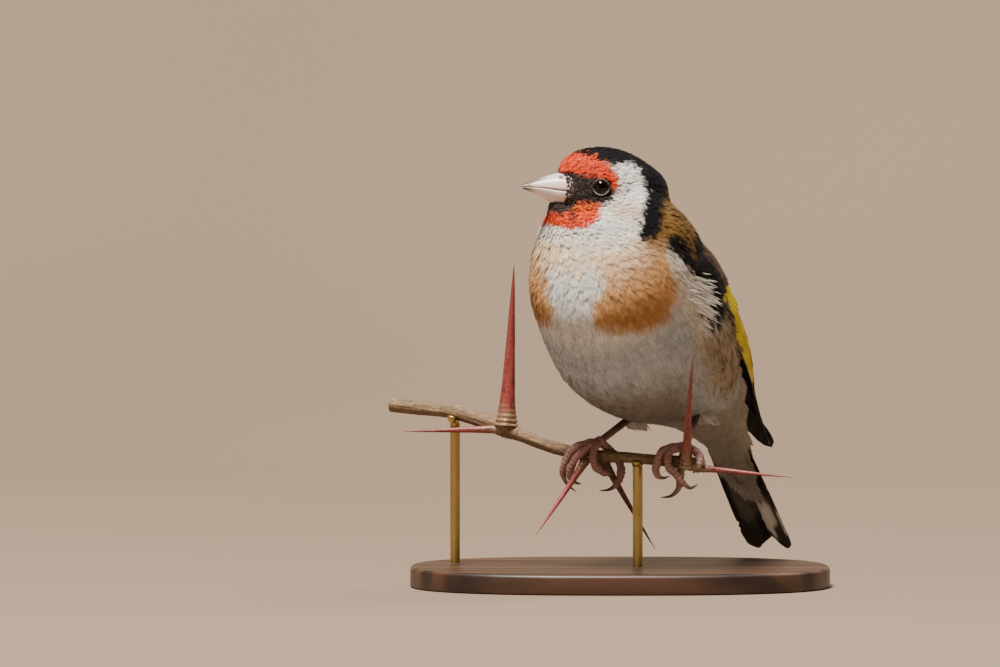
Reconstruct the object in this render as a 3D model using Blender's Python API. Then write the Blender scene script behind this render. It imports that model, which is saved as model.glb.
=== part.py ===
"""A European goldfinch perched on a cut length of thorny twig, over a plain display stand.

Life size. Lengths are in millimetres and become metres through MM. The front view looks along +Y, with
+X to its right and +Z up. The origin is the centre of the stand base's underside.
"""

import math

import bmesh
import bpy
import numpy as np
from mathutils import Vector

MM = 0.001
GAP = 0.3  # clear space that neighbouring nodes keep

# Pose. Turns are measured from the viewer towards the bird's right, rises from the level.
BODY_TURN = math.radians(28.5)
BODY_RISE = math.radians(50)
TAIL_TURN = math.radians(26.5)
TAIL_RISE = math.radians(45)
HEAD_TURN = math.radians(75)
HEAD_RISE = math.radians(2)

UP = np.array([0.0, 0.0, 1.0])


def facing(turn, rise):
    """Unit vector that points forward at this turn and rise."""
    level = np.array([-math.sin(turn), -math.cos(turn), 0.0])
    return level * math.cos(rise) + UP * math.sin(rise)


LEFT = np.cross(UP, facing(BODY_TURN, 0))
AXIS = facing(BODY_TURN, BODY_RISE)
BACK = np.cross(AXIS, LEFT)
TAIL_AXIS = facing(TAIL_TURN, TAIL_RISE)
TAIL_LEFT = np.cross(UP, facing(TAIL_TURN, 0))
TAIL_BACK = np.cross(TAIL_AXIS, TAIL_LEFT)
HEAD_AXIS = facing(HEAD_TURN, HEAD_RISE)
HEAD_LEFT = np.cross(UP, facing(HEAD_TURN, 0))
HEAD_UP = np.cross(HEAD_AXIS, HEAD_LEFT)

# Where the main forms sit.
TORSO_CENTRE = np.array([3.0, -8.0, 56.0])
HEAD_CENTRE = np.array([-1.6, -16.5, 79.2])
TAIL_ROOT_ALONG = -30.0
TAIL_ROOT_BACK = 13.0
TAIL_LENGTH = 50.0

# Torso sections: along the axis from its centre, shift to the back, half width, depth to the back, depth to the belly.
TORSO = (
    (-57, 15.2, 2.6, 0.7, 1.0),
    (-50, 14.3, 4.3, 1.6, 3.4),
    (-42, 12.8, 6.2, 3.2, 6.0),
    (-34, 10.8, 8.8, 5.8, 9.2),
    (-27, 7.5, 11.6, 9.0, 12.0),
    (-21, 3.5, 14.0, 12.6, 13.9),
    (-15, 1.0, 16.2, 14.8, 16.0),
    (-8, 0.0, 17.6, 15.8, 18.9),
    (0, 0.0, 18.0, 15.6, 20.6),
    (8, 0.0, 17.6, 14.4, 21.0),
    (15, 0.0, 16.8, 12.2, 20.2),
    (21, 1.0, 14.4, 9.6, 16.0),
    (27, 2.6, 9.0, 6.0, 8.0),
)
TORSO_FULLNESS = 2.2

# Head sections: forward from the head's centre, lift, half width, height above, depth below.
HEAD = (
    (-11.2, -0.6, 1.8, 1.9, 1.8),
    (-10.0, -0.3, 4.6, 3.6, 4.0),
    (-8.0, 0.0, 6.6, 4.9, 6.4),
    (-5.0, 0.0, 8.0, 6.8, 8.2),
    (-1.5, 0.0, 8.5, 8.3, 8.6),
    (2.0, 0.0, 8.3, 8.9, 8.6),
    (5.0, 0.0, 7.5, 8.7, 8.4),
    (8.0, 0.0, 5.2, 7.9, 8.4),
    (9.3, -0.2, 4.2, 7.5, 8.0),
    (10.5, -0.4, 3.5, 6.7, 7.4),
    (11.5, -1.2, 3.2, 5.6, 6.4),
    (12.4, -3.4, 2.9, 3.2, 3.9),
    (13.3, -4.9, 1.6, 1.3, 1.8),
)
HEAD_FULLNESS = 2.15

# Neck sections between torso and head: share of the way, half width across, half depth.
NECK = (
    (0.0, 16.0, 14.0),
    (0.35, 15.2, 13.6),
    (0.6, 13.0, 12.2),
    (0.8, 10.9, 11.0),
    (1.0, 7.5, 8.6),
)
NECK_FOOT_ALONG = 10.0
NECK_HEAD_SHIFT = np.array([0.6, 0.8, -1.0])

# Planes that part the body: a point, and a normal towards the head.
NECK_TOP_CUT = ((-2.0, -16.0, 74.0), (-0.13, -0.33, 0.935))
NECK_FOOT_CUT = ((-1.0, -12.0, 70.2), (-0.2, -0.44, 0.875))
TAIL_CUT_ALONG = -31.0

# Bill: forward from the head's centre, ridge, cutting edge, lower edge, half width.
BILL = (
    (8.0, 3.9, -0.55, -3.9, 4.35),
    (10.5, 3.5, -0.3, -3.4, 3.8),
    (12.2, 3.05, 0.0, -2.8, 3.0),
    (14.7, 2.3, 0.2, -1.65, 2.0),
    (17.2, 1.35, 0.3, -0.55, 1.1),
    (18.5, 0.8, 0.3, -0.15, 0.55),
    (19.5, 0.4, 0.22, 0.1, 0.16),
)
BILL_LOWER_END = 18.4
BILL_MOUTH_GAP = 0.3
NOSTRIL = (11.4, 1.9, 2.5, 0.42)  # forward, aside, up, radius

# Eyes: forward, aside and up of the ball's centre, and its radius.
EYE = (4.15, 5.95, 0.7)
EYE_RADIUS = 2.0
EYE_LOOK = (0.30, 0.95, 0.05)  # towards bill, aside, up
LID_REACH = 1.5  # from the ball's centre to the lid's ring, along the look
LID_RADIUS = 1.62
LID_THICKNESS = 0.38

# Folded wing as a curved sheet. Rows: distance along it, then along/aside/back of the body
# for its lower edge, its middle and its upper edge.
WING = (
    (-4, 13.0, 14.6, -1.2, 11.6, 13.0, 5.6, 8.6, 8.2, 12.2),
    (0, 10.6, 15.8, -0.4, 9.6, 13.6, 6.8, 6.4, 8.0, 13.2),
    (20, -5.0, 16.7, 2.4, -4.8, 14.2, 10.3, -6.2, 6.8, 15.3),
    (40, -22.4, 14.0, 7.8, -21.8, 11.2, 14.0, -22.4, 4.4, 17.6),
    (60, -40.6, 8.2, 15.0, -40.6, 5.8, 18.0, -40.6, 2.6, 20.4),
    (78, -58.0, 4.6, 19.6, -58.0, 3.0, 22.0, -58.0, 1.4, 24.2),
)
# Feathers of a wing, from the lowest in the stack up: root along and across from the lower
# edge, tip along and across, half width, lift.
PRIMARIES = (
    (8, 1.2, 76.6, 2.4, 1.7, 0.00),
    (8, 1.6, 75.8, 2.9, 1.8, 0.12),
    (8, 2.2, 73.6, 3.4, 1.9, 0.24),
    (8, 2.9, 70.2, 3.9, 2.0, 0.36),
    (8, 3.6, 66.6, 4.5, 2.0, 0.48),
    (8, 4.3, 63.0, 5.1, 2.1, 0.60),
    (8, 5.0, 59.4, 5.7, 2.1, 0.72),
)
SECONDARIES = (
    (9, 5.8, 54.6, 6.2, 2.4, 0.84),
    (9, 7.0, 53.0, 7.2, 2.5, 0.96),
    (10, 8.2, 51.6, 8.3, 2.5, 1.08),
    (10, 9.6, 50.2, 9.4, 2.6, 1.20),
    (10, 11.0, 48.8, 10.6, 2.6, 1.32),
)
TERTIALS = (
    (12, 12.2, 51.0, 9.8, 3.2, 1.48),
    (12, 14.0, 45.0, 12.0, 3.3, 1.64),
    (12, 15.4, 38.0, 13.8, 3.2, 1.80),
)
PRIMARY_COVERTS = (
    (5, 1.0, 25.0, 1.4, 1.1, 0.70),
    (5, 1.8, 23.4, 2.5, 1.1, 0.85),
    (3, 0.9, 17.6, 1.2, 1.2, 1.00),
)
GREATER_COVERTS = (
    (7, 3.2, 24.4, 4.2, 1.7, 1.00),
    (7, 5.2, 25.6, 6.3, 1.8, 1.12),
    (7, 7.4, 26.4, 8.6, 1.9, 1.24),
    (7, 9.8, 26.8, 10.9, 1.9, 1.36),
    (7, 12.2, 26.6, 13.2, 1.9, 1.48),
    (7, 14.4, 25.8, 15.3, 1.9, 1.60),
)
MEDIAN_COVERTS = (
    (1, 3.2, 14.8, 3.8, 1.9, 1.30),
    (1, 6.1, 15.8, 6.9, 2.0, 1.42),
    (1, 9.0, 16.4, 10.0, 2.1, 1.54),
    (1, 11.8, 16.4, 13.0, 2.1, 1.66),
    (1, 14.6, 15.6, 15.6, 1.9, 1.78),
)
VANE_THICKNESS = 0.55
VANE_LONG = ((0.0, 0.55), (0.22, 0.9), (0.48, 1.0), (0.76, 1.0), (0.93, 0.7), (1.0, 0.16))
VANE_SHORT = ((0.0, 0.7), (0.4, 1.0), (0.8, 0.9), (1.0, 0.3))
ROOT_LIFT = 0.35  # share of its lift a vane has at its root
VANE_TILT = 0.3  # how far the lower edge of a vane stands over its upper edge
WING_PAD_DEPTH = 1.7
WING_PAD_REACH = 52.0
WING_ROOM = 6.0  # the torso is cleared this far above the wing's sheet
WING_RIM = 1.0  # and this far past its edges
RIGHT_TIP_FROM = 30.0  # from here along the right wing its end bends in over the tail
RIGHT_TIP_SHIFT = 3.2

# Tail feathers of one side from the middle out: root aside, tip aside, tip along, half width.
RECTRICES = (
    (0.6, 0.8, 46.4, 2.1),
    (1.0, 1.2, 47.0, 2.1),
    (1.4, 1.7, 47.9, 2.1),
    (1.8, 2.2, 48.8, 2.1),
    (2.2, 2.7, 49.7, 2.0),
    (2.6, 3.2, 50.2, 2.0),
)
RECTRIX_ROOT = 6.0
RECTRIX_STEP = 0.22  # each pair lies this far under the pair inside it
RECTRIX_STAGGER = 0.45  # share of a step by which the right feathers lie under the left ones

# Legs: where the thigh starts inside the body, the heel, and where the foot stands along the twig.
LEGS = {
    "right": ((1.0, 4.0, 42.0), (2.4, 2.5, 33.7), -4.4),
    "left": ((13.6, -2.5, 43.0), (15.6, -1.6, 35.2), 12.6),
}
TARSUS_RADIUS = 0.72
LEG_END = 2.05  # from the foot's middle to the leg's lower end
THIGH_RADII = (5.5, 4.6, 3.0, 1.7)
# Each foot's middle: in front of and above the twig's line.
HUBS = {"right": (0.1, 2.9), "left": (0.1, 3.4)}
HUB_RADIUS = 1.1

# Toes, each from the foot's middle to the claw's tip: along the twig, to its front, upwards.
TOES = {
    "right": (
        ((0, 0.3, 2.8), (-2.1, 1.9, 2.4), (-4.4, 2.4, 1.0), (-5.3, 2.35, -1.0),
         (-5.7, 1.9, -3.0), (-5.7, 1.3, -4.6), (-4.8, 0.9, -6.3), (-3.4, 0.5, -7.5)),
        ((0, 0.5, 2.8), (-1.3, 2.3, 1.9), (-3.2, 2.75, -0.1), (-4.2, 2.45, -2.3),
         (-4.5, 1.75, -4.1), (-4.1, 1.0, -5.2), (-3.5, 0.4, -5.8), (-2.7, 0.1, -5.9)),
        ((0, 0.6, 2.8), (-0.2, 2.3, 1.6), (-0.2, 2.7, -0.2), (0.2, 2.4, -1.7),
         (1.2, 1.8, -2.8), (2.0, 1.1, -3.3), (2.6, 0.5, -3.7), (3.2, -0.1, -4.2)),
        ((0, -0.2, 2.8), (1.5, -1.8, 1.5), (3.0, -2.4, -0.3), (3.9, -2.2, -2.2),
         (4.0, -1.4, -4.2), (3.4, -0.3, -5.7), (2.4, 0.6, -6.5), (0.8, 1.0, -6.8)),
    ),
    "left": (
        ((0, 0.3, 3.3), (-2.6, 1.9, 2.8), (-4.0, 2.5, 1.6), (-4.5, 2.6, -0.1),
         (-4.9, 2.1, -1.8), (-4.5, 1.5, -3.1), (-3.5, 0.8, -3.4), (-2.5, 0.2, -2.9)),
        ((0, 0.5, 3.3), (-2.1, 2.3, 2.3), (-2.5, 2.7, 0.5), (-2.1, 2.7, -1.0),
         (-0.7, 2.4, -2.3), (0.5, 1.8, -3.7), (2.0, 1.4, -4.7), (3.4, 1.2, -3.8)),
        ((0.2, 0.2, 3.3), (1.4, 0.2, 2.9), (2.6, 0.8, 2.3), (3.3, 1.6, 1.7),
         (3.7, 2.4, 1.1), (3.8, 3.0, 0.3), (3.7, 3.2, -0.6), (3.5, 3.1, -1.5)),
        ((0, -0.2, 3.3), (-0.8, -1.9, 2.1), (-1.2, -2.5, 0.2), (-1.2, -2.3, -1.8),
         (-0.9, -1.3, -3.5), (-0.8, -0.4, -5.2), (-1.9, 0.2, -6.8), (-4.0, 0.5, -7.4)),
    ),
}
TOE_RADII = (0.85, 0.8, 0.8, 0.8, 0.78, 0.56, 0.38, 0.11)
TOE_STATIONS = 10

# Twig: across and up for its centre line, and its radius there.
TWIG = (
    (-46.0, 36.0, 1.45),
    (-40.8, 35.5, 1.45),
    (-34.0, 34.8, 1.42),
    (-29.2, 33.6, 1.45),
    (-24.2, 31.9, 1.65),
    (-20.0, 30.4, 1.35),
    (-16.0, 28.8, 1.25),
    (-12.6, 27.7, 1.2),
    (-9.0, 26.8, 1.2),
    (-4.6, 26.3, 1.2),
    (1.2, 26.05, 1.04),
    (6.4, 25.8, 1.04),
    (12.0, 25.3, 1.25),
    (16.5, 24.8, 1.1),
)
TWIG_DEPTH = -9.0  # where the twig's line meets TWIG_PIVOT
TWIG_PIVOT = 3.0
TWIG_SLANT = -0.33

# Thorns: root, a middle point, tip, and radius at the root.
THORNS = (
    ((-22.8, -0.6, 32.0), (-22.0, -0.8, 46.6), (-21.2, -2.0, 64.4), 2.4),
    ((-22.6, -0.8, 31.4), (-32.5, -0.4, 31.2), (-43.0, 1.0, 30.8), 1.25),
    ((-6.6, -6.5, 26.0), (-11.5, -13.2, 18.9), (-16.8, -21.0, 11.6), 1.15),
    ((-3.4, -5.8, 25.4), (1.4, -3.2, 17.0), (7.0, -0.4, 7.4), 1.15),
    ((13.0, -14.0, 24.6), (13.2, -18.6, 34.4), (14.0, -25.0, 46.8), 1.5),
    ((14.4, -13.6, 24.4), (23.0, -15.0, 23.6), (34.0, -17.0, 22.6), 1.1),
)

# Finish of every node: colour, roughness, metal share.
FINISHES = {
    "head": ("#b8b2a6", 0.85, 0.0),
    "neck": ("#b79a78", 0.85, 0.0),
    "torso": ("#c9bfae", 0.88, 0.0),
    "tail": ("#1b1817", 0.6, 0.0),
    "wing_left": ("#1e1a18", 0.58, 0.0),
    "wing_right": ("#1e1a19", 0.58, 0.0),
    "bill_upper": ("#dccbc0", 0.4, 0.0),
    "bill_lower": ("#e2cfc5", 0.4, 0.0),
    "eye_left": ("#0c0908", 0.08, 0.0),
    "eye_right": ("#0d0a09", 0.08, 0.0),
    "leg_left": ("#8c6358", 0.6, 0.0),
    "leg_right": ("#8b6257", 0.6, 0.0),
    "foot_left": ("#a17a70", 0.6, 0.0),
    "foot_right": ("#a0796f", 0.6, 0.0),
    "perch": ("#846a4c", 0.8, 0.0),
    "stand_base": ("#3f2a1d", 0.5, 0.0),
    "stand_rod_left": ("#b9a067", 0.3, 1.0),
    "stand_rod_right": ("#b8a066", 0.3, 1.0),
}

# Stand.
BASE_SIZE = (84.0, 58.0)
BASE_HEIGHT = 4.0
BASE_EDGE = 0.8
ROD_RADIUS = 1.0
ROD_CLEARANCE = 0.65
RODS = {"stand_rod_left": -33.0, "stand_rod_right": 3.4}

SHARP_ANGLE = math.radians(35)
SKIN_VOXEL = 1.0
SKIN_SMOOTHING = 9
SKIN_TRIANGLES = 2600


def along(table, x):
    """The row of a table at x, on a smooth curve through its rows."""
    rows = np.asarray(table, float)
    knots, values = rows[:, 0], rows[:, 1:]
    slopes = np.gradient(values, knots, axis=0)
    x = min(max(x, knots[0]), knots[-1])
    i = min(max(int(np.searchsorted(knots, x)) - 1, 0), len(knots) - 2)
    h = knots[i + 1] - knots[i]
    s = (x - knots[i]) / h
    start = (1 + 2 * s) * (1 - s) ** 2 * values[i] + s * (1 - s) ** 2 * h * slopes[i]
    end = s * s * (3 - 2 * s) * values[i + 1] + s * s * (s - 1) * h * slopes[i + 1]
    return start + end


def body_point(t, left, back):
    return TORSO_CENTRE + AXIS * t + LEFT * left + BACK * back


def tail_point(k, left, back):
    """A point k behind the tail's root."""
    root = body_point(TAIL_ROOT_ALONG, 0, TAIL_ROOT_BACK)
    return root - TAIL_AXIS * k + TAIL_LEFT * left + TAIL_BACK * back


def head_point(forward, left, up):
    return HEAD_CENTRE + HEAD_AXIS * forward + HEAD_LEFT * left + HEAD_UP * up


def round_section(sides, fullness):
    """Unit (across, up) pairs round a section that is a little fuller than an ellipse."""
    angles = [2 * math.pi * k / sides for k in range(sides)]
    power = 2 / fullness
    return [
        (
            math.copysign(abs(math.cos(a)) ** power, math.cos(a)),
            math.copysign(abs(math.sin(a)) ** power, math.sin(a)),
        )
        for a in angles
    ]


def make(name, points, faces):
    """A mesh object from points in millimetres, with its faces turned outwards."""
    mesh = bpy.data.meshes.new(name)
    mesh.from_pydata([Vector(p) * MM for p in points], [], [tuple(f) for f in faces])
    bm = bmesh.new()
    bm.from_mesh(mesh)
    bmesh.ops.triangulate(bm, faces=bm.faces)
    bmesh.ops.recalc_face_normals(bm, faces=bm.faces)
    bm.to_mesh(mesh)
    bm.free()
    obj = bpy.data.objects.new(name, mesh)
    bpy.context.scene.collection.objects.link(obj)
    return obj


def loft(name, rings):
    """A closed skin over rings of equal count, with a point at the middle of each end ring."""
    rings = [np.asarray(r, float) for r in rings]
    sides = len(rings[0])
    points = [p for ring in rings for p in ring]
    faces = []
    for r in range(len(rings) - 1):
        for k in range(sides):
            a, b = r * sides + k, r * sides + (k + 1) % sides
            faces.append((a, b, b + sides, a + sides))
    first, last = len(points), len(points) + 1
    points += [rings[0].mean(0), rings[-1].mean(0)]
    base = (len(rings) - 1) * sides
    for k in range(sides):
        faces.append((first, (k + 1) % sides, k))
        faces.append((last, base + k, base + (k + 1) % sides))
    return make(name, points, faces)


def evaluated(obj):
    """Applies the object's modifiers to its mesh."""
    graph = bpy.context.evaluated_depsgraph_get()
    mesh = bpy.data.meshes.new_from_object(obj.evaluated_get(graph))
    obj.modifiers.clear()
    old, obj.data = obj.data, mesh
    bpy.data.meshes.remove(old)
    return obj


def boolean(obj, others, operation):
    """Joins or cuts with a collection of closed meshes, which are used up."""
    group = bpy.data.collections.new(obj.name + "_tools")
    bpy.context.scene.collection.children.link(group)
    for other in others:
        bpy.context.scene.collection.objects.unlink(other)
        group.objects.link(other)
    modifier = obj.modifiers.new(operation.lower(), "BOOLEAN")
    modifier.operation = operation
    modifier.operand_type = "COLLECTION"
    modifier.collection = group
    bpy.context.view_layer.update()
    evaluated(obj)
    for other in others:
        bpy.data.objects.remove(other)
    bpy.data.collections.remove(group)
    return obj


def fuse(name, pieces):
    """One closed body from overlapping closed pieces."""
    whole = pieces[0]
    whole.name = name
    if len(pieces) > 1:
        boolean(whole, pieces[1:], "UNION")
    return keep_largest(whole)


def carve(obj, cutters):
    boolean(obj, cutters, "DIFFERENCE")
    return keep_largest(obj)


def keep_largest(obj):
    """Drops every closed surface but the one that holds the most."""
    bm = bmesh.new()
    bm.from_mesh(obj.data)
    bmesh.ops.triangulate(bm, faces=bm.faces)
    left = set(bm.faces)
    shells = []
    while left:
        shell, reach = set(), [next(iter(left))]
        while reach:
            face = reach.pop()
            if face in shell:
                continue
            shell.add(face)
            reach += [f for e in face.edges for f in e.link_faces if f not in shell]
        left -= shell
        volume = sum(
            f.verts[0].co.dot(f.verts[1].co.cross(f.verts[2].co)) for f in shell
        )
        shells.append((volume, shell))
    shells.sort(key=lambda pair: pair[0])
    for _, shell in shells[:-1]:
        bmesh.ops.delete(bm, geom=list(shell), context="FACES")
    bm.to_mesh(obj.data)
    bm.free()
    return obj


def cut_off(obj, name, point, normal):
    """Parts obj at a plane: the side that normal points to becomes a new object, a gap away."""
    halves = []
    for sign, shift in ((-1, 0.0), (1, GAP)):
        bm = bmesh.new()
        bm.from_mesh(obj.data)
        place = Vector(np.asarray(point) + np.asarray(normal) * shift) * MM
        bmesh.ops.bisect_plane(
            bm,
            geom=list(bm.verts) + list(bm.edges) + list(bm.faces),
            dist=1e-7,
            plane_co=place,
            plane_no=Vector(normal),
            clear_inner=sign > 0,
            clear_outer=sign < 0,
        )
        rim = [e for e in bm.edges if e.is_boundary]
        bmesh.ops.holes_fill(bm, edges=rim, sides=0)
        bmesh.ops.triangulate(bm, faces=bm.faces)
        bmesh.ops.recalc_face_normals(bm, faces=bm.faces)
        mesh = bpy.data.meshes.new(name)
        bm.to_mesh(mesh)
        bm.free()
        halves.append(mesh)
    old, obj.data = obj.data, halves[0]
    bpy.data.meshes.remove(old)
    other = bpy.data.objects.new(name, halves[1])
    bpy.context.scene.collection.objects.link(other)
    return obj, other


def tube(name, path, radii, sides=8, hint=UP):
    """A tapering tube along a path."""
    path = np.asarray(path, float)
    tangents = np.gradient(path, axis=0)
    high = np.asarray(hint, float)
    rings = []
    for p, d, r in zip(path, tangents, radii):
        d = d / np.linalg.norm(d)
        high = high - d * high.dot(d)
        high = high / np.linalg.norm(high)
        across = np.cross(d, high)
        turns = [2 * math.pi * k / sides for k in range(sides)]
        rings.append([p + (across * math.cos(a) + high * math.sin(a)) * r for a in turns])
    return loft(name, rings)


def ball(name, centre, radius, rings=8, sides=12, axis=UP):
    """A sphere whose poles lie on axis."""
    axis = np.asarray(axis, float) / np.linalg.norm(axis)
    hint = UP if abs(axis[2]) < 0.9 else np.array([1.0, 0.0, 0.0])
    across = np.cross(axis, hint)
    across /= np.linalg.norm(across)
    high = np.cross(across, axis)
    made = []
    for r in range(1, rings):
        a = math.pi * r / rings
        made.append(
            [
                centre
                + axis * radius * math.cos(a)
                + radius
                * math.sin(a)
                * (
                    across * math.cos(2 * math.pi * k / sides)
                    + high * math.sin(2 * math.pi * k / sides)
                )
                for k in range(sides)
            ]
        )
    obj = loft(name, made)
    # The two cap points move out to the poles.
    points = obj.data.vertices
    points[len(points) - 2].co = Vector(centre + axis * radius) * MM
    points[len(points) - 1].co = Vector(centre - axis * radius) * MM
    return obj


def clear_scene():
    for obj in list(bpy.data.objects):
        bpy.data.objects.remove(obj)


def torso_form():
    section = round_section(28, TORSO_FULLNESS)
    rings = []
    for t in np.linspace(TORSO[0][0], TORSO[-1][0], 34):
        shift, width, back, belly = along(TORSO, t)
        rings.append(
            [
                body_point(t, c * width, shift + s * (back if s > 0 else belly))
                for c, s in section
            ]
        )
    return loft("torso_form", rings)


def head_form():
    section = round_section(28, HEAD_FULLNESS)
    rings = []
    for s in np.linspace(HEAD[0][0], HEAD[-1][0], 24):
        lift, width, above, below = along(HEAD, s)
        rings.append(
            [
                head_point(s, c * width, lift + u * (above if u > 0 else below))
                for c, u in section
            ]
        )
    return loft("head_form", rings)


def neck_form():
    foot = body_point(NECK_FOOT_ALONG, 0, 0)
    top = HEAD_CENTRE + NECK_HEAD_SHIFT
    across = LEFT
    run = (top - foot) / np.linalg.norm(top - foot)
    deep = np.cross(run, across)
    rings = []
    for share in np.linspace(0, 1, 10):
        width, depth = along(NECK, share)
        middle = foot + (top - foot) * share
        rings.append(
            [
                middle + across * c * width + deep * s * depth
                for c, s in round_section(24, 2.1)
            ]
        )
    return loft("neck_form", rings)


def body_whole():
    """Head, neck and torso as one smooth body."""
    body = fuse("body", [torso_form(), head_form(), neck_form()])
    remesh = body.modifiers.new("remesh", "REMESH")
    remesh.mode = "VOXEL"
    remesh.voxel_size = SKIN_VOXEL * MM
    soften = body.modifiers.new("soften", "SMOOTH")
    soften.factor = 0.5
    soften.iterations = SKIN_SMOOTHING
    evaluated(body)
    thin = body.modifiers.new("thin", "DECIMATE")
    thin.ratio = SKIN_TRIANGLES / (2 * len(body.data.polygons))
    evaluated(body)
    return keep_largest(body)


def thigh(side):
    start, heel, _ = (np.array(p) if isinstance(p, tuple) else p for p in LEGS[side])
    shares = (0, 0.35, 0.7, 1.0)
    path = [start + (heel - start) * s for s in shares]
    return tube("thigh", path, THIGH_RADII, sides=14)


def twig_point(x):
    up, _ = along(TWIG, x)
    return np.array([x, TWIG_DEPTH + TWIG_SLANT * (x - TWIG_PIVOT), up])


def bill_rings(rows, upper, grow=0.0):
    sides = 7
    rings = []
    for s in rows:
        ridge, cut, under, width = along(BILL, s)
        half = BILL_MOUTH_GAP / 2 - grow
        width += grow
        if upper:
            floor = cut + half
            top = max(ridge + grow, floor + 0.2)
        else:
            floor = cut - half
            top = min(under - grow, floor - 0.15)
        ring = []
        for k in range(sides):
            a = math.pi * k / (sides - 1)
            ring.append(head_point(s, width * math.cos(a), floor + (top - floor) * math.sin(a)))
        ring.append(head_point(s, 0, floor))
        rings.append(ring)
    return rings


def bill_upper():
    bill = loft("bill_upper", bill_rings((8.0, 10.5, 12.2, 14.0, 15.8, 17.2, 18.5, 19.5), True))
    s, aside, up, radius = NOSTRIL
    pits = [ball("pit", head_point(s, aside * sign, up), radius, 5, 8) for sign in (1, -1)]
    return carve(bill, pits)


def bill_lower():
    rows = (8.0, 10.5, 12.2, 14.0, 15.8, 17.2, BILL_LOWER_END)
    return loft("bill_lower", bill_rings(rows, False))


def bill_room(upper):
    """The room that one half of the bill takes in the face."""
    rows = (7.5, 8.0, 10.5, 12.2, 14.0, 15.8)
    return loft("bill_room", bill_rings(rows, upper, GAP * 1.4))


def eye_place(side):
    forward, aside, up = EYE
    look = HEAD_AXIS * EYE_LOOK[0] + HEAD_LEFT * EYE_LOOK[1] * side + HEAD_UP * EYE_LOOK[2]
    return head_point(forward, aside * side, up), look / np.linalg.norm(look)


def eye(name, side):
    centre, look = eye_place(side)
    return ball(name, centre, EYE_RADIUS, 7, 12, look)


def lid(side):
    centre, look = eye_place(side)
    middle = centre + look * LID_REACH
    across = np.cross(look, UP)
    across /= np.linalg.norm(across)
    high = np.cross(across, look)
    sides, steps = 5, 16
    points, faces = [], []
    for i in range(steps):
        a = 2 * math.pi * i / steps
        out = across * math.cos(a) + high * math.sin(a)
        for k in range(sides):
            b = 2 * math.pi * k / sides
            points.append(
                middle
                + out * (LID_RADIUS + LID_THICKNESS * math.cos(b))
                + look * LID_THICKNESS * math.sin(b)
            )
            j, m = (i + 1) % steps, (k + 1) % sides
            faces.append((i * sides + k, j * sides + k, j * sides + m, i * sides + m))
    return make("lid", points, faces)


def wing_row(x):
    values = along(WING, x)
    return values[:3], values[3:6], values[6:]


def wing_point(x, across, lift, side):
    """A point on the folded wing's sheet, across millimetres above its lower edge."""
    low, mid, high = wing_row(x)
    chord = np.linalg.norm(mid - low) + np.linalg.norm(high - mid)
    y = across / chord
    spread = low * (1 - y) * (1 - 2 * y) + mid * 4 * y * (1 - y) + high * y * (2 * y - 1)
    slope = low * (4 * y - 3) + mid * (4 - 8 * y) + high * (4 * y - 1)
    ahead = np.array([(wing_row(x + 0.5)[k] - wing_row(x - 0.5)[k]) for k in (0, 1, 2)])
    run = ahead[0] * (1 - y) + ahead[2] * y
    out = np.cross(run, slope)
    out /= np.linalg.norm(out)
    t, left, back = spread + out * lift
    left *= side
    if side < 0 and x > RIGHT_TIP_FROM:
        left += RIGHT_TIP_SHIFT * ((x - RIGHT_TIP_FROM) / (WING[-1][0] - RIGHT_TIP_FROM)) ** 2
    return body_point(t, left, back)


def wing_chord(x):
    low, mid, high = wing_row(x)
    return np.linalg.norm(mid - low) + np.linalg.norm(high - mid)


def wing_vane(row, side, shape):
    x0, c0, x1, c1, half, top = row
    rings = []
    for share, width in shape:
        lift = top * (ROOT_LIFT + (1 - ROOT_LIFT) * share * share * (3 - 2 * share))
        x = x0 + (x1 - x0) * share
        c = c0 + (c1 - c0) * share
        w = half * width
        tilt = VANE_TILT / 2 * width
        thin = VANE_THICKNESS * (0.55 if share == 1.0 else 1.0) / 2
        rings.append(
            [
                wing_point(x, c - w, lift + tilt + thin, side),
                wing_point(x, c + w, lift - tilt + thin, side),
                wing_point(x, c + w, lift - tilt - thin, side),
                wing_point(x, c - w, lift + tilt - thin, side),
            ]
        )
    return loft("vane", rings)


def wing_pad(side, grow=0.0, roof=0.25, rim=-0.7):
    """The body of a wing under its feathers; grown, it is what the torso makes room for."""
    steps, across = 11, 6
    start, end = -3.0 - grow, WING_PAD_REACH + grow
    upper, lower = [], []
    for i in range(steps):
        x = start + (end - start) * i / (steps - 1)
        chord = wing_chord(x)
        end_fade = math.sin(math.pi * min(max((i + 0.35) / (steps - 0.3), 0), 1)) ** 0.35
        for k in range(across):
            f = k / (across - 1)
            c = -rim + (chord + 2 * rim) * f
            fade = max(4 * f * (1 - f), 0.12) ** 0.5 * end_fade
            upper.append(wing_point(x, c, roof * fade + grow, side))
            lower.append(wing_point(x, c, -WING_PAD_DEPTH * fade - grow, side))
    faces = []
    count = len(upper)
    for i in range(steps - 1):
        for k in range(across - 1):
            a = i * across + k
            quad = (a, a + across, a + across + 1, a + 1)
            faces.append(quad)
            faces.append(tuple(count + q for q in reversed(quad)))
    rim = [k for k in range(across)]
    rim += [i * across + across - 1 for i in range(1, steps)]
    rim += [(steps - 1) * across + k for k in range(across - 2, -1, -1)]
    rim += [i * across for i in range(steps - 2, 0, -1)]
    for a, b in zip(rim, rim[1:] + rim[:1]):
        faces.append((a, b, count + b, count + a))
    return make("pad", upper + lower, faces)


def wing(name, side):
    pieces = [wing_pad(side)]
    for tier in (PRIMARIES, SECONDARIES, TERTIALS):
        pieces += [wing_vane(row, side, VANE_LONG) for row in tier]
    for tier in (PRIMARY_COVERTS, GREATER_COVERTS, MEDIAN_COVERTS):
        pieces += [wing_vane(row, side, VANE_SHORT) for row in tier]
    return fuse(name, pieces)


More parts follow.
